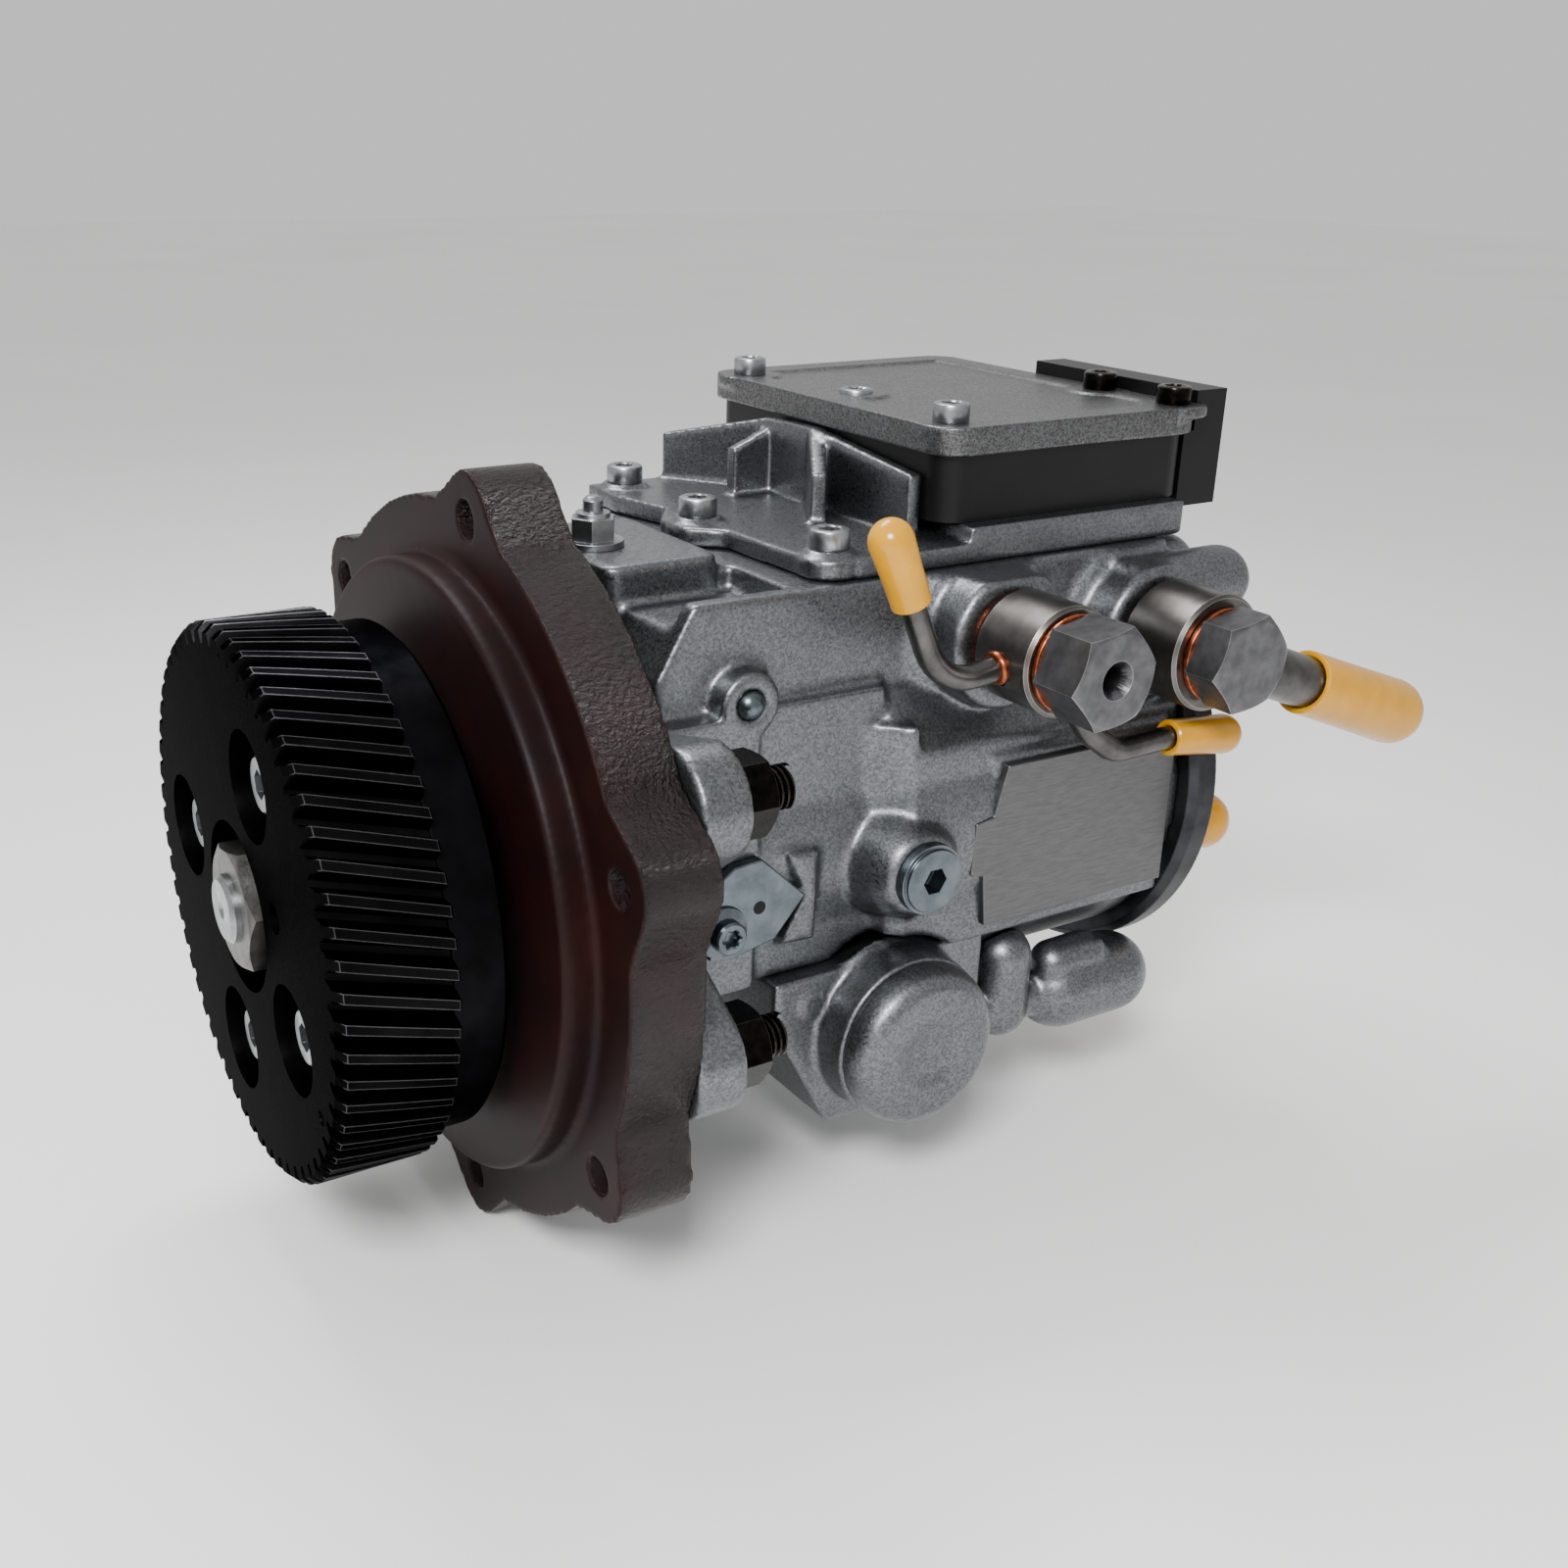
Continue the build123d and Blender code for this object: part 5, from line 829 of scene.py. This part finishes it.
# The cover's axis runs along Y at this x and z, and its dome begins beyond this y.
DOME_X, DOME_Z, DOME_Y = 97.0, -47.4, -63.0
DISH_RADIUS, DISH_SLOPE, DISH_DEPTH = 11.0, 6.0, 1.5
dome = cast("timing_cover", blasted, 0.7, 16)
bm = bmesh.new()
bm.from_mesh(dome.data)
for vert in bm.verts:
    from_axis = ((vert.co.x / MM - DOME_X) ** 2 + (vert.co.z / MM - DOME_Z) ** 2) ** 0.5
    if vert.co.y / MM < DOME_Y and from_axis < DISH_RADIUS:
        share = min(1.0, (DISH_RADIUS - from_axis) / DISH_SLOPE)
        vert.co.y += DISH_DEPTH * share * share * (3 - 2 * share) * MM
bm.to_mesh(dome.data)
bm.free()

# %% [markdown]
# ## The flange casting
# The flange is sand-cast, so it gets the same skin treatment with a coarser voxel. On the real one
# the spigot's face is flat from the rim to the bore, and a ring that is joined in under the skin
# makes it so.

# %% Adapter flange
SPIGOT_FACE = ((-8.3, 20.0), (-8.3, 69.0), (1.6, 69.0), (1.6, 20.0))


def add_spigot_face(bm):
    """Ring of (x, radius) points that closes the spigot's face flush with its rim."""
    verts = [bm.verts.new((x * MM, 0, r * MM)) for x, r in SPIGOT_FACE]
    edges = [bm.edges.new(pair) for pair in zip(verts, verts[1:] + verts[:1])]
    bmesh.ops.spin(
        bm, geom=verts + edges, cent=(0, 0, 0), axis=ALONG_X, angle=2 * pi, steps=96, use_merge=True
    )


cast("adapter_flange", primer, 1.0, 3, add_spigot_face)

# %% [markdown]
# ## The helical gear
# Sixty teeth lean 17 degrees, so a tooth starts more than a whole pitch away from where it ends.
# A ring with six points for each tooth is extruded along the shaft first. Then every point goes to
# its radius and turns by the helix, and the rings at both ends are held below the tips for the
# chamfers. The pockets, the bore and the timing hole are cut with round bodies.

# %% Drive gear
GEAR_FRONT, ROOT_R, PITCH_R, TIP_R, BORE_R = -53.4, 60.0, 62.7, 64.75, 20.0
# Half a tooth at the root, the pitch circle and the tip, as shares of a tooth's whole angle.
FLANK = ((ROOT_R, 0.38), (PITCH_R, 0.27), (TIP_R, 0.17))
TOOTH = [(r, -share) for r, share in FLANK] + list(reversed(FLANK))
TOOTH_ANGLE = 6.0
TURN_PER_MM = degrees(tan(radians(17.0)) / PITCH_R)
# Rings stand at these heights, and the first and the last stay below the tips as chamfers.
GEAR_HEIGHTS = (0.0, 1.9, 6.0, 10.0, 14.0, 18.0, 22.0, 26.2, 26.7)
CHAMFER_R = {GEAR_HEIGHTS[0]: 62.8, GEAR_HEIGHTS[-1]: 64.3}
BOLT_CIRCLE_R, BOLT_ANGLES = 38.3, (115.3, 9.2, 281.5, 207.7)
BOLT_POCKET = ((12.5, 0), (12.5, 11.6), (4.4, 11.6), (4.4, 30.0))
# The timing hole and the timing dot: circle, angle, radius and depth.
TIMING_HOLES = ((29.2, 162.8, 3.6, 30.0), (57.5, 209.5, 1.7, 1.6))
bm = bmesh.new()
loop = bmesh.ops.create_circle(bm, cap_ends=True, segments=360, radius=1.0)["verts"]
edges = list({edge for vert in loop for edge in vert.link_edges})
for low, high in zip(GEAR_HEIGHTS, GEAR_HEIGHTS[1:]):
    edges = extrude_by(bm, edges, Vector((0, 0, high - low)))
bmesh.ops.contextual_create(bm, geom=edges)
for vert in bm.verts:
    height = min(GEAR_HEIGHTS, key=lambda level: abs(level - vert.co.z / MM))
    tooth, corner = divmod(round(degrees(atan2(vert.co.y, vert.co.x))), len(TOOTH))
    radius, share = TOOTH[corner]
    turn = radians((tooth + share) * TOOTH_ANGLE + height * TURN_PER_MM)
    reach = min(radius, CHAMFER_R.get(height, TIP_R))
    vert.co = Vector((GEAR_FRONT + height, reach * cos(turn), reach * sin(turn))) * MM
gear = new_piece("drive_gear_cut", bm, gear_black, ["drive_gear"], body="drive")
bm = bmesh.new()
cut_start = GEAR_FRONT - 1
add_rings(bm, ((BORE_R, 0), (BORE_R, 30.0)), facing((cut_start, 0, 0), ALONG_X), segments=96)
for angle in BOLT_ANGLES:
    place = on_circle(cut_start, BOLT_CIRCLE_R, angle)
    add_rings(bm, BOLT_POCKET, facing(place, ALONG_X), segments=64)
for circle_r, angle, radius, depth in TIMING_HOLES:
    place = on_circle(cut_start, circle_r, angle)
    add_rings(bm, ((radius, 0), (radius, depth)), facing(place, ALONG_X), segments=32)
cut_away(gear, bm)
break_edges(gear, 0.25)
print("gear", len(gear.data.polygons), "faces")

# %% [markdown]
# ## Bracket with its fan of ribs
# The bracket is one casting: a thin floor that follows the bosses of its screws, a thicker pad
# under the control unit, and ribs that prop the pad's front edge. Each rib slopes up from the
# floor, which a prism drawn in the rib's own plane gives directly.

# %% Bracket
BRACKET_BOTTOM, FLOOR_TOP, UNIT_PAD_TOP = 67.3, 72.3, 76.3
BRACKET_FLOOR = (
    (88, -38), (192, -38), (192, 68), (72, 68), (70.5, 52),
    (75.5, 32), (68, 21), (68, 9), (76, 2), (77.5, -30),
)
UNIT_PAD = ((121, -38), (192, -38), (192, 68), (110, 68), (110, 36), (121, 34))
FRONT_SCREWS = ((85.0, -29.5), (75.5, 15.0), (79.0, 60.0))
SCREW_BOSS = ((8.2, 0), (8.2, 5.0), (6.2, 5.2), (5.9, 6.5))
# Start and end of each rib in plan, and the height of its top at both.
RIBS = (
    ((95.7, 67.0), (113.2, 40.0), 84.8, 91.8),
    ((99.0, 37.4), (113.2, 38.5), 84.8, 90.3),
    ((113.2, 40.5), (113.2, 17.5), 91.8, 92.3),
    ((100.6, -2.0), (113.2, 18.5), 84.8, 92.3),
    ((113.2, 19.0), (113.6, -24.5), 92.3, 87.3),
)
RIB_ROOT, RIB_HALF = FLOOR_TOP - 1.0, 2.0
bm = bmesh.new()
add_prism(bm, BRACKET_FLOOR, "Z", BRACKET_BOTTOM, FLOOR_TOP)
add_prism(bm, UNIT_PAD, "Z", BRACKET_BOTTOM + 0.2, UNIT_PAD_TOP)
for x, y in FRONT_SCREWS:
    add_rings(bm, SCREW_BOSS, at(x, y, BRACKET_BOTTOM), segments=32)
for start, end, start_top, end_top in RIBS:
    run = Vector(end) - Vector(start)
    side = ((0, RIB_ROOT), (run.length, RIB_ROOT), (run.length, end_top), (0, start_top))
    rib = add_prism(bm, side, "Y", -RIB_HALF, RIB_HALF)
    bmesh.ops.transform(bm, matrix=at(*start, 0, degrees(atan2(run.y, run.x))), verts=rib)
skin("cooling_bracket_cast", bm, bracket_cast, 0.8, 4, ["cooling_bracket"])

# %% [markdown]
# ## Cover plate of the control unit
# The plate is die-cast with a shallow field in its middle, pads round its screws and a round well
# for the fifth screw. The field is an inset of the top face, the pads are short round bodies under
# the same skin, and a Boolean cuts the well.

# %% Cover plate
WELL_PLACE, WELL_DEPTH = (129.0, 23.0), 3.5
# Place of each screw and how far it is sunk: two in front, two at the rear, one in the well.
UNIT_SCREWS = (
    (122.5, -25.0, 0.0), (121.5, 64.0, 0.0),
    (193.8, -28.0, 0.0), (194.2, 0.0, 0.0),
    (*WELL_PLACE, WELL_DEPTH),
)
PLATE_OUTLINE = ((114, -35), (199, -35), (199, 75), (114, 75))
PLATE_BOTTOM, PLATE_TOP = 92.7, 99.7
SCREW_PAD = ((8.8, PLATE_TOP - 3), (8.8, PLATE_TOP - 0.3), (8.4, PLATE_TOP))
bm = bmesh.new()
add_prism(bm, PLATE_OUTLINE, "Z", PLATE_BOTTOM, PLATE_TOP)
upright = [edge for edge in bm.edges if abs(edge.verts[0].co.z - edge.verts[1].co.z) > MM]
bmesh.ops.bevel(
    bm, geom=upright, offset=8 * MM, segments=6, profile=0.5, affect="EDGES", material=-1
)
top = [face for face in bm.faces if face.calc_center_median().z > (PLATE_TOP - 0.1) * MM]
bmesh.ops.inset_region(bm, faces=top, thickness=8.5 * MM, depth=0.0)
bmesh.ops.inset_region(bm, faces=top, thickness=1.2 * MM, depth=-0.8 * MM)
for x, y, _ in UNIT_SCREWS:
    add_rings(bm, SCREW_PAD, at(x, y, 0), segments=40)
well = bmesh.new()
well_rings = ((6.9, PLATE_TOP - WELL_DEPTH), (7.1, PLATE_TOP + 2))
add_rings(well, well_rings, at(*WELL_PLACE, 0), segments=40)
skin(
    "control_plate_cast", bm, plate_cast, 0.6, 3, ["control_plate"],
    cutter=loose_object("well", well),
)

# %% [markdown]
# ## The bare label pad
# The mould leaves a raised field on the near wall, with steps in its front edge. Remesh would melt
# such a low step, so the field is its own piece: an outline drawn out, with its rim broken. It is
# left bare.

# %% Label pad
PAD_OUTLINE = (
    (124.5, 20.0), (182.0, 20.0), (182.0, -23.0), (120.5, -23.0),
    (119.0, -9.0), (115.0, -8.0), (115.5, 6.0), (121.0, 7.0),
)
PAD_BACK, PAD_FRONT = -50.9, -54.7
bm = bmesh.new()
add_prism(bm, PAD_OUTLINE, "Y", PAD_BACK, PAD_FRONT)
new_piece("label_pad", bm, pad_aluminium, edges_mm=0.5)

# %% [markdown]
# ## Lock plate
# A stamped zinc sheet that swings into the gap of the shaft. Its outline is drawn out to the
# sheet's thickness and its edges are broken, as tumbling does after stamping. A thin dark disc
# is a painted shadow that stands for the small hole.

# %% Lock plate
LOCK_OUTLINE = ((42, 2), (48.5, 6.6), (56, 7.2), (68.6, -4.6), (60.2, -14.4), (48, -17), (42, -16))
LOCK_BACK, LOCK_FRONT = -46.25, -49.2
bm = bmesh.new()
add_prism(bm, LOCK_OUTLINE, "Y", LOCK_BACK, LOCK_FRONT)
new_piece("lock_plate_stamped", bm, blue_zinc, ["lock_plate"], edges_mm=0.5)
# Painted shadow: a thin dark disc on the plate where its small hole is.
bm = bmesh.new()
add_rings(bm, ((1.7, 0.0), (1.7, 0.06)), facing((55.5, -49.16, -5.0), TO_NEAR_SIDE), segments=24)
new_piece("lock_plate_hole_shadow", bm, rubber)

# %% [markdown]
# ## Screws with a six-lobed recess
# A cheese-head screw is a lathe part with one extra stroke: a punch that presses a six-lobed
# recess into its head. Rings are extruded one above the other about the screw's axis, and the
# rings of the recess are pushed in and out six times round.

# %% Lobed screws
# Heights at which the screws of the unit and of the bracket end.
UNIT_SCREW_END, BRACKET_SCREW_END = 80.3, 55.3
BRACKET_SCREWS = (*((x, y, 73.8) for x, y in FRONT_SCREWS), (184, 60, 71.3))
WASHER_SCREW = (
    (2.0, -14.0), (2.4, -13.2), (2.4, 0.0), (6.3, 0.0), (6.6, 0.3), (6.4, 0.9), (4.8, 1.5),
    (4.2, 1.7), (4.2, 4.2), (3.7, 4.7), (2.5, 4.7, 0.10), (2.1, 4.4, 0.14), (2.0, 2.6, 0.14),
)


def screw_rings(length, shank_r, head_r, head_height, recess_r):
    """Rings of a screw along Z whose head stands on z = 0."""
    top = head_height
    return (
        (shank_r * 0.8, -length),
        (shank_r, -length + 0.8),
        (shank_r, 0.0),
        (head_r - 0.15, 0.0),
        (head_r, 0.25),
        (head_r, top - 0.7),
        (head_r - 0.2, top - 0.25),
        (head_r - 0.7, top),
        (recess_r + 0.35, top, 0.10),
        (recess_r, top - 0.3, 0.14),
        (recess_r * 0.96, top - min(2.3, 0.6 * top), 0.14),
    )


# The two rear screws take the black finish as painted shade, where they sit in shade.
for name, finish, slot, screws in (
    ("control_screws_front", zinc, "plated_steel", UNIT_SCREWS[:2] + UNIT_SCREWS[4:]),
    ("control_screws_rear_painted_shade", black_oxide, "black_steel", UNIT_SCREWS[2:4]),
):
    bm = bmesh.new()
    for number, (x, y, drop) in enumerate(screws):
        seat = PLATE_TOP - drop
        rings = screw_rings(seat - UNIT_SCREW_END, 2.45, 4.5, 4.6, 2.3)
        add_rings(bm, rings, at(x, y, seat, 17 * number))
    new_piece(name, bm, finish, ["control_screws"])

bm = bmesh.new()
for number, (x, y, seat) in enumerate(BRACKET_SCREWS):
    rings = screw_rings(seat - BRACKET_SCREW_END, 2.95, 4.9, 4.6, 2.5)
    add_rings(bm, rings, at(x, y, seat, 11 * number))
for angle in (90, 170, 270, 10):
    head_screw = screw_rings(19.0, 2.95, 4.9, 5.6, 2.5)
    add_rings(bm, head_screw, facing(on_circle(191.0, 48.2, angle), ALONG_X))
new_piece("housing_screws_lobed", bm, zinc, ["housing_screws"])

bm = bmesh.new()
for angle in (195, 270, 345):
    cover_screw = screw_rings(18.0, 1.95, 3.4, 2.4, 1.5)
    add_rings(bm, cover_screw, facing(on_circle(58.0, 29.4, angle), ALONG_X))
for z in (25.0, -25.0):
    clamp_screw = screw_rings(8.0, 1.95, 3.4, 2.4, 1.5)
    add_rings(bm, clamp_screw, facing((202.0, 0, z), ALONG_X))
add_rings(bm, WASHER_SCREW, facing((45.2, LOCK_FRONT, -9.0), TO_NEAR_SIDE))
new_piece("small_screws_lobed", bm, blue_zinc, ["small_screws"])

# %% [markdown]
# ## Rolled threads
# A thread is one small tooth drawn round and along at the same time. Spin does just that when it
# is given a step along the axis, so the tooth's profile is spun once for each turn and its sides
# meet those of the next turn. A plain core with a rounded end closes it.

# %% Threaded studs
STUD_PLACES = ((-72.0, 35.5), (-72.7, -24.3), (72.0, 35.5), (72.7, -24.3))
STUD_CORE = (
    (4.0, 6.0), (4.95, 7.0), (4.95, 38.0), (4.2, 38.3), (4.2, 45.6), (3.6, 46.2), (2.4, 46.5),
)


def add_thread(bm, start, crest_r, root_r, pitch, turns, y, z):
    """Thread about X from start, as a helical skin."""
    profile = ((0.0, root_r), (0.40, crest_r), (0.60, crest_r), (1.0, root_r))
    verts = [bm.verts.new(((start + share * pitch) * MM, 0, r * MM)) for share, r in profile]
    edges = [bm.edges.new(pair) for pair in zip(verts, verts[1:])]
    steps = 32 * turns
    step = (pitch * turns / steps * MM, 0, 0)
    before = set(bm.verts) - set(verts)
    bmesh.ops.spin(
        bm, geom=verts + edges, cent=(0, 0, 0), axis=ALONG_X, dvec=step,
        angle=2 * pi * turns, steps=steps, use_merge=False,
    )
    fresh = [vert for vert in bm.verts if vert not in before]
    bmesh.ops.translate(bm, verts=fresh, vec=(0, y * MM, z * MM))
    bmesh.ops.remove_doubles(bm, verts=fresh, dist=1e-6)


bm = bmesh.new()
for y, z in STUD_PLACES:
    add_rings(bm, STUD_CORE, facing((0, y, z), ALONG_X), segments=32)
    add_thread(bm, 38.0, 4.98, 4.15, 1.5, 5, y, z)
new_piece("adapter_studs_threaded", bm, black_oxide, ["adapter_studs"])

# %% [markdown]
# ## Fuel pipes, brazed roots and caps
# The return pipes are 6 mm steel tube bent over a die, and the inlet pipe is straight. Each is
# brazed into its union, and the copper creeps out as a small shiny fillet round the pipe. The caps
# are dipped: a little thicker towards the closed end, which is round.

# %% Pipes
PIPE_Y = -63.0
RETURN_CENTRE, INLET_CENTRE = Vector((123.6, PIPE_Y, 51.6)), Vector((172.3, PIPE_Y, 46.8))
INLET_RUN, INLET_SLOPE = 76.0, radians(20.5)
UPPER_ROUTE = [(93.5, PIPE_Y, 47.3), (77.1, PIPE_Y, 83.7)]
REAR_ROUTE = [
    (141.5, PIPE_Y, 28.4), (150.5, PIPE_Y, 21.9), (168.0, PIPE_Y, 22.5), (188.0, PIPE_Y, 20.2),
]
INLET_ROUTE = [(248.3, PIPE_Y, 46.8 - INLET_RUN * tan(INLET_SLOPE))]
BRAZE_R = 1.1


def add_cap(bm, place, direction, inner_r, length):
    """Dipped cap that opens at a place and closes along a direction."""
    mouth_r = inner_r + 1.6
    end_r = mouth_r + 0.6
    profile = [(inner_r, 2.0), (inner_r, 0.35), (inner_r + 0.4, 0.0)]
    profile += [(mouth_r - 0.4, 0.0), (mouth_r, 0.4), (mouth_r + 0.2, length * 0.4)]
    profile.append((end_r, length - end_r))
    for step in range(15, 90, 15):
        round_up = radians(step)
        profile.append((end_r * cos(round_up), length - end_r + end_r * sin(round_up)))
    profile.append((0.3, length))
    add_rings(bm, profile, facing(place, direction), segments=32)


pipes = bmesh.new()
braze = bmesh.new()
caps = bmesh.new()
for centre, route, union_r, pipe_r, bends, cover, length in (
    (RETURN_CENTRE, UPPER_ROUTE, 13.5, 3.0, (14.0,), 17.0, 21.5),
    (RETURN_CENTRE, REAR_ROUTE, 13.5, 3.0, (12.0, 10.0, 30.0), 19.0, 25.0),
    (INLET_CENTRE, INLET_ROUTE, 14.8, 7.0, (), 33.0, 50.0),
):
    way = (Vector(route[0]) - centre).normalized()
    add_pipe(pipes, [centre + way * (union_r - 2.4), *route], pipe_r, bends)
    fillet = []
    for step in range(-90, 91, 30):
        around = radians(step)
        fillet.append((pipe_r + 0.1 + BRAZE_R * cos(around), BRAZE_R * sin(around)))
    add_rings(braze, fillet, facing(centre + way * (union_r + 0.2), way), segments=32)
    *_, before, end = (centre, *map(Vector, route))
    last = (end - before).normalized()
    add_cap(caps, end - last * cover, last, pipe_r + 0.05, length)
new_piece("fuel_pipes_bent", pipes, pipe_steel, ["fuel_pipes"])
new_piece("braze_rings", braze, copper)
new_piece("pipe_caps_dipped", caps, vinyl, ["pipe_caps"])

bm = bmesh.new()
for angle in (207.0, 134.0, 46.0, 333.0):
    add_cap(bm, on_circle(205.2, 41.5, angle), ALONG_X, 6.05, 18.0)
new_piece("outlet_caps_dipped", bm, vinyl, ["outlet_caps"])

# %% [markdown]
# ## The spring of the timing device
# The timing piston presses this spring against the far plug. Its coil is a copy of the CAD node,
# set in place and left on no moving body.

# %% Timing spring
coil = merged_copy("timing_spring")
spring = new_piece(
    "timing_spring_coil", coil, spring_wire, ["timing_spring"], body=None
)
low, high = (Vector(corner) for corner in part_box("timing_spring"))
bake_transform(spring)
print("spring from", round(low.y / MM, 1), "to", round(high.y / MM, 1), "mm")

# %% [markdown]
# ## Turned and milled pieces
# Everything else keeps the CAD shape and only gets its edges broken. The width is that of a real
# deburred edge on a piece of that size.

# %% Machined pieces
for node, material, width in (
    ("gear_hub", hub_black, 0.5),
    ("gear_bolts", zinc, 0.25),
    ("hub_nut", white_zinc, 0.35),
    ("drive_shaft", zinc, 0.25),
    ("stud_nuts", black_oxide, 0.3),
    ("small_plugs", blue_zinc, 0.25),
    ("lock_screw", zinc, 0.25),
    ("control_body", nylon, 0.5),
    ("union_bolts", turned_steel, 0.3),
    ("fuel_unions", union_steel, 0.5),
    ("copper_washers", copper, 0.4),
    ("valve_holders", zinc, 0.25),
    ("distributor_head", head_steel, 0.6),
    ("solenoid_clamp", zinc, 0.4),
    ("timing_plug", zinc, 0.3),
):
    piece = machined(node, material, width)
    print(node, len(piece.data.polygons), "faces")
